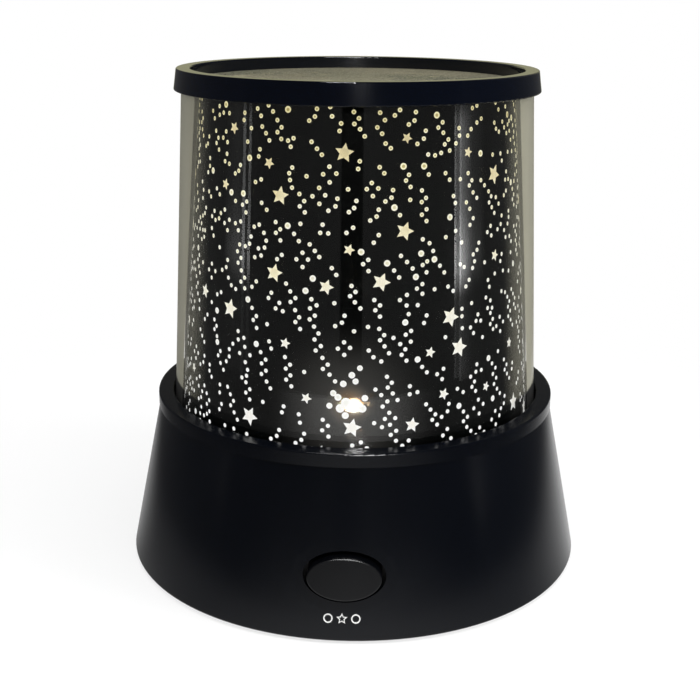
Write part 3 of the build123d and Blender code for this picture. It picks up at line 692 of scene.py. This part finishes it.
film_low, film_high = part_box("star_film")
FILM_FOOT_Z = film_low.z
FILM_HEAD_Z = film_high.z
FILM_FOOT_RADIUS = film_high.x
FILM_HEAD_RADIUS = max(
    point.co.xy.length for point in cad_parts["star_film"].data.vertices
    if point.co.z > FILM_HEAD_Z - 0.0001
)
FILM_SEE_THROUGH = 0.02
INK_SHEEN = 0.12
GLOW_PLACE = (0.0003, -0.0427, 0.0513)
GLOW_HALO = (0.002, 0.024)
GLOW_CORE = (0.0, 0.006)


def film_radius(z):
    """The radius of the film's outer face at a height."""
    share = (z - FILM_FOOT_Z) / (FILM_HEAD_Z - FILM_FOOT_Z)
    return FILM_FOOT_RADIUS + share * (FILM_HEAD_RADIUS - FILM_FOOT_RADIUS)


def film_material():
    """Black ink with a faint see-through. A spot of it glows by itself, where the lamp is behind."""
    material, start = new_material("film_black")
    place = start.node("TexCoord", output="Object")
    ripple = noise(start, 38.0)
    fine = noise(start, 1500.0)
    ink = mixed((0.001, 0.0013, 0.0012), (0.0022, 0.0026, 0.0023), ripple, start)
    away = start.node(
        "VectorMath", {"operation": "DISTANCE"}, {0: place, 1: GLOW_PLACE}, output="Value"
    )
    near = 1 - step_up(away, *GLOW_HALO)
    core = 1 - step_up(away, *GLOW_CORE)
    halo = near * near * 0.04 + core * 0.16
    warmth = mixed((1.0, 0.97, 0.9), (1.0, 0.6, 0.26), core, start)
    glow = start.node("VectorMath", {"operation": "SCALE"}, {0: warmth, "Scale": halo})
    skin = bumpy(start, ripple, 0.25, 0.0004)
    inked = coat(start, ink, 0.16 + 0.06 * fine, Normal=skin, **{
        "Specular IOR Level": INK_SHEEN, "Emission Color": glow, "Emission Strength": 1.0,
    })
    inner_side = start.node("NewGeometry", output="Backfacing")
    share = FILM_SEE_THROUGH + (1 - FILM_SEE_THROUGH) * inner_side
    surface(start, layered(start, share, inked, clear_sheet(start, (1, 1, 1))))
    return material


dress(film_material(), "star_film")


DOT_RADIUS = 0.49
BIG_DOT_RADIUS = 0.72
CELL = 4
REACH = 2 * CELL
NOTHING_NEAR = 12.0
STAR_GAP = 6.0
STAR_ROOM = 0.5
STAR_MARGIN = 0.1
STAR_TRIES = 4000
STAR_LEAN = 0.22
DOT_GAP = 1.7
DOT_ROOM = 0.1
DOT_TRIES = 9000
DOT_JITTER = 0.12
PLACES_COMPARED = 9
STEP_BACK = 1.45
BIG_FIRST = 0.3
BIG_ALONE = 0.25
# The kinds of figure as running shares. What is left over is single dots.
STAIRS, CORNERS, PAIRS, WEDGES, DIAMONDS, ARCS = 0.4, 0.5, 0.66, 0.76, 0.81, 0.86


def dot_at(reach, angle):
    """A plain dot, at an angle from the middle of its figure."""
    return (reach * math.cos(angle), reach * math.sin(angle), DOT_RADIUS)


class StarMap:
    """A made-up sky on the unrolled film, in millimetres: small groups of dots and loose stars."""

    def __init__(self, seed, width, low, high, wraps):
        self.pick = random.Random(seed)
        self.width = width
        self.low = low
        self.high = high
        self.wraps = wraps
        self.cells = {}
        self.dots = []
        self.stars = []

    def around(self, s, z, reach):
        """The marks in every cell that lies within reach of a place."""
        for i in range(int((s - reach) // CELL), int((s + reach) // CELL) + 1):
            for j in range(int((z - reach) // CELL), int((z + reach) // CELL) + 1):
                yield from self.cells.get((i, j), ())

    def near(self, s, z, reach):
        """True where half of this reach meets the room that another mark keeps."""
        return any(
            math.hypot(s - other_s, z - other_z) < reach / 2 + room
            for other_s, other_z, room in self.around(s, z, reach)
        )

    def mark(self, s, z, room):
        """Notes a mark and its room, and near the joint of the film also on the far side of it."""
        copies = [s]
        if self.wraps and s < REACH:
            copies.append(s + self.width)
        if self.wraps and s > self.width - REACH:
            copies.append(s - self.width)
        for copy in copies:
            self.cells.setdefault((int(copy // CELL), int(z // CELL)), []).append((copy, z, room))

    def stair(self):
        """Short slanting runs of dots, each set one small step back to the left of the last."""
        pick = self.pick
        lean = math.radians(pick.uniform(-57, -45))
        gap = pick.uniform(1.7, 1.95)
        dots = []
        s, z = 0.0, 0.0
        for _ in range(pick.choice((1, 2, 2, 2, 3))):
            for _ in range(pick.choice((2, 2, 3, 3))):
                dots.append((s, z, DOT_RADIUS))
                s, z = s + gap * math.cos(lean), z + gap * math.sin(lean)
            back = math.radians(pick.uniform(216, 236))
            s = dots[-1][0] + STEP_BACK * math.cos(back)
            z = dots[-1][1] + STEP_BACK * math.sin(back)
        if pick.random() < BIG_FIRST:
            dots[0] = (dots[0][0] - 0.2, dots[0][1] + 0.25, BIG_DOT_RADIUS)
        return dots

    def group(self):
        """One small figure of dots as offsets, with the size of each dot."""
        pick = self.pick
        kind = pick.random()
        gap = pick.uniform(1.5, 1.95)
        if kind < STAIRS:
            return self.stair()
        if kind < CORNERS:
            return [
                (0, 0, DOT_RADIUS), (0.8 * gap, 0.5 * gap, DOT_RADIUS),
                (1.1 * gap, 1.45 * gap, DOT_RADIUS),
            ]
        if kind < PAIRS:
            lean = math.radians(pick.uniform(20, 150))
            return [(0, 0, DOT_RADIUS), dot_at(gap, lean)]
        if kind < WEDGES:
            lean = math.radians(pick.uniform(10, 100))
            return [(0, 0, DOT_RADIUS), dot_at(gap, lean), dot_at(gap, lean - 1.3)]
        if kind < DIAMONDS:
            return [
                (0, 0.9 * gap, DOT_RADIUS), (-0.75 * gap, 0, DOT_RADIUS),
                (0.85 * gap, 0.1 * gap, DOT_RADIUS), (0.1 * gap, -0.9 * gap, DOT_RADIUS),
            ]
        if kind < ARCS:
            start = math.radians(pick.uniform(0, 360))
            return [dot_at(1.7 * gap, start + i * 0.62) for i in range(3)]
        return [(0, 0, BIG_DOT_RADIUS if pick.random() < BIG_ALONE else DOT_RADIUS)]

    def place_stars(self, count, sizes):
        """Loose stars, each well apart from the others."""
        tries = 0
        while len(self.stars) < count and tries < STAR_TRIES:
            tries += 1
            size = self.pick.choice(sizes)
            s = self.pick.uniform(0 if self.wraps else -self.width, self.width)
            z = self.pick.uniform(self.low + size, self.high - size)
            if not self.inside(s, z, size) or self.near(s, z, STAR_GAP + size):
                continue
            self.mark(s, z, size + STAR_ROOM + STAR_MARGIN)
            self.stars.append((s, z, size, self.pick.uniform(-STAR_LEAN, STAR_LEAN)))

    def inside(self, s, z, size):
        """True where a whole mark lies on the printed part of the film."""
        if self.wraps:
            return self.low + size < z < self.high - size
        return math.hypot(s, z) < self.width - size

    def emptiest(self, choices):
        """The one of several random places that lies farthest from the marks so far."""
        best, best_gap = None, -1.0
        for _ in range(choices):
            s = self.pick.uniform(0 if self.wraps else -self.width, self.width)
            z = self.pick.uniform(self.low, self.high)
            gap = NOTHING_NEAR
            for other_s, other_z, _ in self.around(s, z, REACH):
                gap = min(gap, math.hypot(s - other_s, z - other_z))
            if gap > best_gap:
                best, best_gap = (s, z), gap
        return best

    def place_by_hand(self, s, z, dots, star):
        """A few listed marks, given from one place on the film."""
        for ds, dz, size in dots:
            self.mark(s + ds, z + dz, size + DOT_ROOM)
            self.dots.append((s + ds, z + dz, size, 0.0))
        ds, dz, size = star
        self.mark(s + ds, z + dz, size + STAR_ROOM)
        self.stars.append((s + ds, z + dz, size, 0.1))

    def place_dots(self, count):
        """Figures of dots, each in the emptiest of a few random places, and on a disc also turned."""
        tries = 0
        while len(self.dots) < count and tries < DOT_TRIES:
            tries += 1
            s, z = self.emptiest(PLACES_COMPARED)
            group = self.group()
            if not self.wraps:
                spin = self.pick.uniform(0, 2 * math.pi)
                over, up = math.cos(spin), math.sin(spin)
                group = [(ds * over - dz * up, ds * up + dz * over, size) for ds, dz, size in group]
            middle_s = sum(mark[0] for mark in group) / len(group)
            middle_z = sum(mark[1] for mark in group) / len(group)
            s, z = s - middle_s, z - middle_z
            places = [
                ((s + ds) % self.width if self.wraps else s + ds, z + dz, size)
                for ds, dz, size in group
            ]
            if not all(self.inside(a, b, size) for a, b, size in places):
                continue
            if any(self.near(a, b, DOT_GAP) for a, b, _ in places):
                continue
            for a, b, size in places:
                jitter_s = self.pick.uniform(-DOT_JITTER, DOT_JITTER)
                jitter_z = self.pick.uniform(-DOT_JITTER, DOT_JITTER)
                self.mark(a, b, size + DOT_ROOM)
                self.dots.append((a + jitter_s, b + jitter_z, size, 0.0))


# The thickness is a share of each mark's own size, and the lifts are in metres.
PRINT_THICKNESS = 0.03
PRINT_LIFT = 0.00001
PRINT_RAISE = 0.00002


def print_tree(name, make_shape):
    """Geometry Nodes that set one closed flat shape on every point, by its size and turn."""
    tree = bpy.data.node_groups.new(name, "GeometryNodeTree")
    for label, kind, way in (
        ("Geometry", "NodeSocketGeometry", "INPUT"), ("Thickness", "NodeSocketFloat", "INPUT"),
        ("Sides", "NodeSocketInt", "INPUT"), ("Inner Radius", "NodeSocketFloat", "INPUT"),
        ("Material", "NodeSocketMaterial", "INPUT"), ("Geometry", "NodeSocketGeometry", "OUTPUT"),
    ):
        tree.interface.new_socket(label, in_out=way, socket_type=kind)
    ends = tree.nodes.new("NodeGroupInput")
    out = tree.nodes.new("NodeGroupOutput")

    def add(kind, settings=(), **links):
        node = tree.nodes.new(kind)
        for key, value in dict(settings).items():
            setattr(node, key, value)
        for key, value in links.items():
            socket = node.inputs[key.replace("_", " ")]
            if isinstance(value, bpy.types.NodeSocket):
                tree.links.new(value, socket)
            else:
                socket.default_value = value
        return node

    shape = make_shape(tree, add, ends)
    turn = add("GeometryNodeInputNamedAttribute", {"data_type": "FLOAT_VECTOR"}, Name="turn")
    size = add("GeometryNodeInputNamedAttribute", {"data_type": "FLOAT"}, Name="size")
    euler = add("FunctionNodeEulerToRotation", (), Euler=turn.outputs["Attribute"])
    level = add("ShaderNodeSeparateXYZ")
    where = add("GeometryNodeInputPosition")
    tree.links.new(where.outputs[0], level.inputs[0])
    spread = add("ShaderNodeCombineXYZ", (), X=level.outputs["X"], Y=level.outputs["Y"])
    distance = add("ShaderNodeVectorMath", {"operation": "LENGTH"})
    tree.links.new(spread.outputs[0], distance.inputs[0])
    for label, value in (("rim", distance.outputs["Value"]), ("level", level.outputs["Z"])):
        shape = add(
            "GeometryNodeStoreNamedAttribute", {"data_type": "FLOAT", "domain": "POINT"},
            Geometry=shape, Name=label, Value=value,
        ).outputs[0]
    spots = add("GeometryNodeInstanceOnPoints", (), Points=ends.outputs["Geometry"])
    tree.links.new(shape, spots.inputs["Instance"])
    tree.links.new(euler.outputs[0], spots.inputs["Rotation"])
    tree.links.new(size.outputs["Attribute"], spots.inputs["Scale"])
    solid = add("GeometryNodeRealizeInstances", (), Geometry=spots.outputs[0])
    painted = add(
        "GeometryNodeSetMaterial", (), Geometry=solid.outputs[0], Material=ends.outputs["Material"]
    )
    tree.links.new(painted.outputs[0], out.inputs[0])
    return tree


def dot_shape(tree, add, ends):
    """A thin round pad of unit radius."""
    pad = add(
        "GeometryNodeMeshCone", {"fill_type": "TRIANGLE_FAN"},
        Vertices=ends.outputs["Sides"], Radius_Top=0.94, Radius_Bottom=1.0,
        Depth=ends.outputs["Thickness"],
    )
    return pad.outputs["Mesh"]


def star_shape(tree, add, ends):
    """A thin star of unit size."""
    outline = add(
        "GeometryNodeCurveStar", (), Points=ends.outputs["Sides"], Outer_Radius=1.0,
        Inner_Radius=ends.outputs["Inner Radius"],
    )
    face = add("GeometryNodeFillCurve", Curve=outline.outputs["Curve"])
    high = add(
        "GeometryNodeExtrudeMesh", (), Mesh=face.outputs[0], Offset_Scale=ends.outputs["Thickness"],
        Individual=False,
    )
    under = add("GeometryNodeFlipFaces", (), Mesh=face.outputs[0])
    both = add("GeometryNodeJoinGeometry")
    tree.links.new(high.outputs[0], both.inputs[0])
    tree.links.new(under.outputs[0], both.inputs[0])
    closed = add("GeometryNodeMergeByDistance", (), Geometry=both.outputs[0], Distance=0.0001)
    return closed.outputs[0]


def on_film(s, z, turn):
    """Where a mark of the unrolled sky lies on the rolled film: its place, and its turn in angles."""
    height = z / 1000
    angle = s / FILM_WIDTH * 2 * math.pi
    out = Vector((math.cos(angle), math.sin(angle), 0))
    along = Vector((-math.sin(angle), math.cos(angle), 0))
    up = Vector((0, 0, 1))
    right = math.cos(turn) * along + math.sin(turn) * up
    over = math.cos(turn) * up - math.sin(turn) * along
    facing = Matrix((right, over, out)).transposed()
    return out * film_radius(height) + Vector((0, 0, height)), facing.to_euler()


def printed(name, marks, lay, tree, material, body, sides, inner):
    """Sets shapes on all marks and returns the piece as a plain mesh that rides on its body."""
    places = [lay(s, z, turn) for s, z, size, turn in marks]
    mesh = bpy.data.meshes.new(name)
    mesh.from_pydata([place for place, turn in places], [], [])
    turns = mesh.attributes.new("turn", "FLOAT_VECTOR", "POINT")
    turns.data.foreach_set("vector", [part for place, turn in places for part in turn])
    sizes = mesh.attributes.new("size", "FLOAT", "POINT")
    sizes.data.foreach_set("value", [size / 1000 for s, z, size, turn in marks])
    piece = bring_in(name, mesh)
    maker = piece.modifiers.new("print", "NODES")
    maker.node_group = tree
    values = {"Thickness": PRINT_THICKNESS, "Sides": sides, "Inner Radius": inner, "Material": material}
    for item in tree.interface.items_tree:
        if item.in_out == "INPUT" and item.name in values:
            maker[item.identifier] = values[item.name]
    bpy.context.view_layer.update()
    seen = piece.evaluated_get(bpy.context.evaluated_depsgraph_get())
    plain = bpy.data.meshes.new_from_object(seen)
    plain.name = name
    piece.modifiers.remove(maker)
    piece.data = plain
    bpy.data.meshes.remove(mesh)
    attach(piece, body)
    return piece


def wrap(piece):
    """Lays every point of the print on the cone of the film, a hair above its face."""
    level = piece.data.attributes["level"].data
    for vertex in piece.data.vertices:
        place = vertex.co
        over = PRINT_LIFT + (PRINT_RAISE if level[vertex.index].value > PRINT_THICKNESS / 2 else 0)
        flat = Vector((place.x, place.y))
        flat.normalize()
        radius = film_radius(place.z) + over
        vertex.co = (flat.x * radius, flat.y * radius, place.z)


# Colours of the print's painted glow, from the foot of the film to its head, for the edge and the core
# of each mark.
DOT_EDGE = (
    (0.0, (1.0, 1.0, 1.0)), (0.3, (1.0, 1.0, 0.95)), (0.62, (1.0, 0.97, 0.81)),
    (0.8, (1.0, 0.94, 0.62)), (1.0, (0.78, 0.7, 0.38)),
)
DOT_CORE = (
    (0.0, (1.0, 1.0, 0.98)), (0.3, (0.88, 0.88, 0.8)), (0.62, (0.8, 0.75, 0.47)),
    (0.8, (0.54, 0.46, 0.15)), (1.0, (0.36, 0.29, 0.07)),
)
STAR_EDGE = (
    (0.0, (1.0, 1.0, 0.98)), (0.3, (1.0, 0.985, 0.88)), (0.55, (1.0, 0.94, 0.68)),
    (0.8, (0.84, 0.73, 0.42)), (1.0, (0.65, 0.57, 0.34)),
)
STAR_CORE = (
    (0.0, (0.93, 0.9, 0.82)), (0.3, (0.88, 0.84, 0.7)), (0.55, (0.8, 0.71, 0.42)),
    (0.8, (0.58, 0.475, 0.24)), (1.0, (0.36, 0.29, 0.14)),
)


PRINT_LIGHT = (0.044, 0.118)


def print_material(name, edge_stops, core_stops):
    """Clear print that glows by itself, as if lit from behind: white at the foot, and cream with a
    paler edge at the top."""
    low, high = PRINT_LIGHT
    material, start = new_material(name)
    rise = (object_place(start)[2] - low) / (high - low)
    cloud = noise(start, 70.0)
    worn = noise(start, 1400.0)
    apart = noise(start, 420.0, 0.0)
    height = rise + 0.30 * (cloud - 0.5) + 0.35 * (apart - 0.5)
    rim = start.node("Attribute", {"attribute_name": "rim"}, output="Fac")
    pale = step_up(rim, 0.35, 0.62)
    edge_tone = start.node("ValToRGB", {"stops": edge_stops}, {"Fac": height})
    core_tone = start.node("ValToRGB", {"stops": core_stops}, {"Fac": height})
    painted_tone = mixed(core_tone, edge_tone, pale, start)
    light = start.node("VectorMath", {"operation": "SCALE"}, {0: painted_tone, "Scale": 0.9 + 0.18 * worn})
    glow = {"Emission Color": light, "Emission Strength": 1.0}
    skin = bumpy(start, worn, 0.2, 0.00001)
    surface(start, coat(start, (0.02, 0.02, 0.02), 0.3, Normal=skin, **glow))
    return material


FILM_WIDTH = 2 * math.pi * 40.6
PRINT_HEIGHTS = (37.2, 115.9)
LAMP_SPOT = (0.75 * FILM_WIDTH + 0.2, 51.3)
LAMP_STAR = (0.7, -5.4, 2.2)
LAMP_DOTS = (
    (-3.3, 2.4, 0.72), (-2.3, 1.5, 0.8), (-0.6, 0.3, 1.15), (-1.8, -1.0, 1.0), (-0.7, -2.6, 0.8),
    (2.9, -1.0, 0.9), (3.4, 1.4, 0.75), (-4.1, -0.5, 0.7), (-1.2, 4.6, 0.75), (1.4, 5.2, 0.7),
    (0.6, 6.6, 0.75), (2.3, 8.2, 0.65),
)
STAR_SIDES, STAR_WAIST = 5, 0.49
DOT_SIDES = 12
sky = StarMap(20, FILM_WIDTH, *PRINT_HEIGHTS, True)
sky.place_by_hand(*LAMP_SPOT, LAMP_DOTS, LAMP_STAR)
sky.place_stars(80, (1.2, 1.3, 1.3, 1.4, 1.75, 2.1, 2.3))
sky.place_dots(1980)
dot_print = print_material("dot_print_lit", DOT_EDGE, DOT_CORE)
star_print = print_material("star_print_lit", STAR_EDGE, STAR_CORE)
dot_tree = print_tree("round_dots", dot_shape)
star_tree = print_tree("five_point_stars", star_shape)
wrap(printed("film_dots", sky.dots, on_film, dot_tree, dot_print, "cover", DOT_SIDES, 0.0))
wrap(printed("film_stars", sky.stars, on_film, star_tree, star_print, "cover", STAR_SIDES, STAR_WAIST))


SEAM_HALF_WIDTH = 2.2
SEAM_LIFT = (0.00004, 0.00006)
SEAM_STEPS = 8


def film_seam():
    """Clear tape over the film's joint at the back, as a thin closed strip."""
    material, start = new_material("film_tape")
    haze = noise(start, 260.0, 3.0)
    paint = mixed((0.05, 0.048, 0.042), (0.10, 0.096, 0.085), haze, start)
    tape = coat(start, paint, 0.3 + 0.1 * haze)
    clear = clear_sheet(start, (0.92, 0.91, 0.87))
    surface(start, layered(start, 0.3 + 0.2 * (haze - 0.5), clear, tape))
    points = []
    for height in (FILM_FOOT_Z + 0.0004, FILM_HEAD_Z - 0.0004):
        for lift in SEAM_LIFT:
            radius = film_radius(height) + lift
            for i in range(SEAM_STEPS + 1):
                aside = SEAM_HALF_WIDTH * (2 * i / SEAM_STEPS - 1) / 1000
                angle = math.pi / 2 + aside / radius
                points.append((radius * math.cos(angle), radius * math.sin(angle), height))
    row = SEAM_STEPS + 1
    faces = []
    for i in range(SEAM_STEPS):
        for a, b in ((0, 1), (1, 3), (3, 2), (2, 0)):
            faces.append((a * row + i, a * row + i + 1, b * row + i + 1, b * row + i))
    faces.append((0, row, 3 * row, 2 * row))
    faces.append((row - 1, 3 * row - 1, 4 * row - 1, 2 * row - 1))
    mesh = bpy.data.meshes.new("film_seam")
    mesh.from_pydata(points, [], faces)
    mesh.materials.append(material)
    seam = bring_in("film_seam", mesh)
    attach(seam, "cover")


film_seam()


# ---- Clear cover ----
# A tapered tube of clear styrene, 2 mm thick. Seen edge-on it looks grey-beige, and its two
# polished faces mirror the soft boxes.

def side_glance(start):
    """0 where the wall faces the eye and 1 at its left and right edge, from any height of the eye."""
    upright = start.node("CombineXYZ", (), {0: 0.0, 1: 0.0, 2: 1.0})
    facing = 1 - edge_on(start)
    rise = 1 - start.node("LayerWeight", (), {"Blend": 0.5, "Normal": upright}, output="Facing")
    level = rise.math("SQRT", rise.math("MAXIMUM", 1 - rise * rise, 0.01))
    return 1 - facing.math("MINIMUM", facing / level, 1.0)


def mirror_share(start, straight_on, at_glance, power):
    """How much of the room a polished face mirrors: little straight on, more at a glancing angle."""
    return straight_on + at_glance * edge_on(start) ** power


FILM_EDGE_GLANCE = (0.747, 0.613)
FILM_EDGE_SOFT = 0.012
WALL_GLANCE = (0.43, 0.605)
WALL_HAZE = 0.28
WALL_EDGE = 0.7
FOOT_SHADE = (0.0458, 0.0466)


def cover_material():
    """Clear styrene. Past the film's edge the sight line runs along inside the wall, so it is beige."""
    material, start = new_material("cover_clear")
    smear = noise(start, 30.0, 3.0)
    glance = side_glance(start)
    clear = clear_sheet(start, (0.99, 0.99, 0.985))
    z = object_place(start)[2]
    body_tone = mixed((0.24, 0.231, 0.175), (0.29, 0.279, 0.212), smear, start)
    # Painted shade: the beige wall turns near black at its foot, in the shade down by the well.
    body_tone = mixed((0.012, 0.012, 0.011), body_tone, step_up(z, *FOOT_SHADE), start)
    body = coat(start, body_tone, 0.5)
    outer_face = 1 - start.node("NewGeometry", output="Backfacing")
    film_edge = FILM_EDGE_GLANCE[0] + (z - FILM_FOOT_Z) * (
        (FILM_EDGE_GLANCE[1] - FILM_EDGE_GLANCE[0]) / (FILM_HEAD_Z - FILM_FOOT_Z)
    )
    past_film = step_up(glance - film_edge, -FILM_EDGE_SOFT, FILM_EDGE_SOFT)
    thick = (WALL_HAZE * step_up(glance, *WALL_GLANCE) + WALL_EDGE * past_film) * outer_face
    wall = layered(start, thick, clear, body)
    shine = start.node("BsdfGlossy", (), {"Color": (1, 1, 1), "Roughness": 0.0})
    surface(start, layered(start, mirror_share(start, 0.04, 0.25, 4.0), wall, shine))
    return material


dress(cover_material(), "clear_cover")


# ---- Cap ring, top film and top window ----
# A polished black ring glued on the tube. A disc of the same star film lies on its inner shelf
# under a thin clear window, dusty and scratched, with a painted grey reflection that shows from the
# side.

cap_skin = moulded(
    "cap_gloss_black", (0.0004, 0.0011, 0.0036), (0.0007, 0.0017, 0.0048), 0.09, 0.0005, 0.000004,
    mottle=0.03, **{"Specular IOR Level": 0.35},
)
dress(cap_skin, "cap_ring")

TOP_PRINT_RADIUS = 38.4
TOP_FILM_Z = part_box("top_film")[1].z


def on_disc(s, z, turn):
    """Where a mark lies on the flat film under the top window."""
    return Vector((s / 1000, z / 1000, TOP_FILM_Z)), Matrix.Rotation(turn, 3, "Z").to_euler()


top_sky = StarMap(5, TOP_PRINT_RADIUS, -TOP_PRINT_RADIUS, TOP_PRINT_RADIUS, False)
top_sky.place_stars(16, (1.35, 1.35, 1.8, 2.6))
top_sky.place_dots(380)
printed("top_dots", top_sky.dots, on_disc, dot_tree, dot_print, "cover", DOT_SIDES, 0.0)
printed("top_stars", top_sky.stars, on_disc, star_tree, star_print, "cover", STAR_SIDES, STAR_WAIST)


def top_film_material():
    """The same black ink, duller and without the warm spot."""
    material, start = new_material("top_film_black")
    ripple = noise(start, 60.0)
    ink = mixed((0.006, 0.006, 0.0055), (0.01, 0.01, 0.009), ripple, start)
    surface(start, coat(start, ink, 0.3 + 0.1 * ripple, **{"Specular IOR Level": INK_SHEEN}))
    return material


dress(top_film_material(), "top_film")


WINDOW_DUST_AND_REFLECTION = 0.75
DUST_AND_REFLECTION_GLANCE = (0.5, 0.95)


def window_material():
    """Clear sheet with dust, scratches and a painted grey reflection, shown more the flatter the eye
    looks across it.
    """
    material, start = new_material("window_clear")
    scuff = noise(start, 900.0, 3.0)
    broad = noise(start, 40.0)
    grit = noise(start, 2600.0)
    # Dust and painted reflection: a grey-beige layer with bright grit, shown at a glancing angle.
    dust_and_reflection_tone = mixed((0.10, 0.105, 0.07), (0.19, 0.175, 0.115), step_up(broad, 0.3, 0.7), start)
    dust_and_reflection_tone = mixed(dust_and_reflection_tone, (0.40, 0.37, 0.27), step_up(grit, 0.48, 0.7), start)
    dust_and_reflection = coat(start, dust_and_reflection_tone, 0.6, **{"Specular IOR Level": 0.15})
    dust_and_reflection_share = step_up(edge_on(start), *DUST_AND_REFLECTION_GLANCE) * (WINDOW_DUST_AND_REFLECTION + 0.3 * (scuff - 0.5))
    wall = layered(start, dust_and_reflection_share, clear_sheet(start, (0.98, 0.98, 0.97)), dust_and_reflection)
    shine = start.node("BsdfGlossy", (), {"Color": (1, 1, 1), "Roughness": 0.08})
    surface(start, layered(start, mirror_share(start, 0.01, 0.15, 4.0), wall, shine))
    return material


dress(window_material(), "top_window")
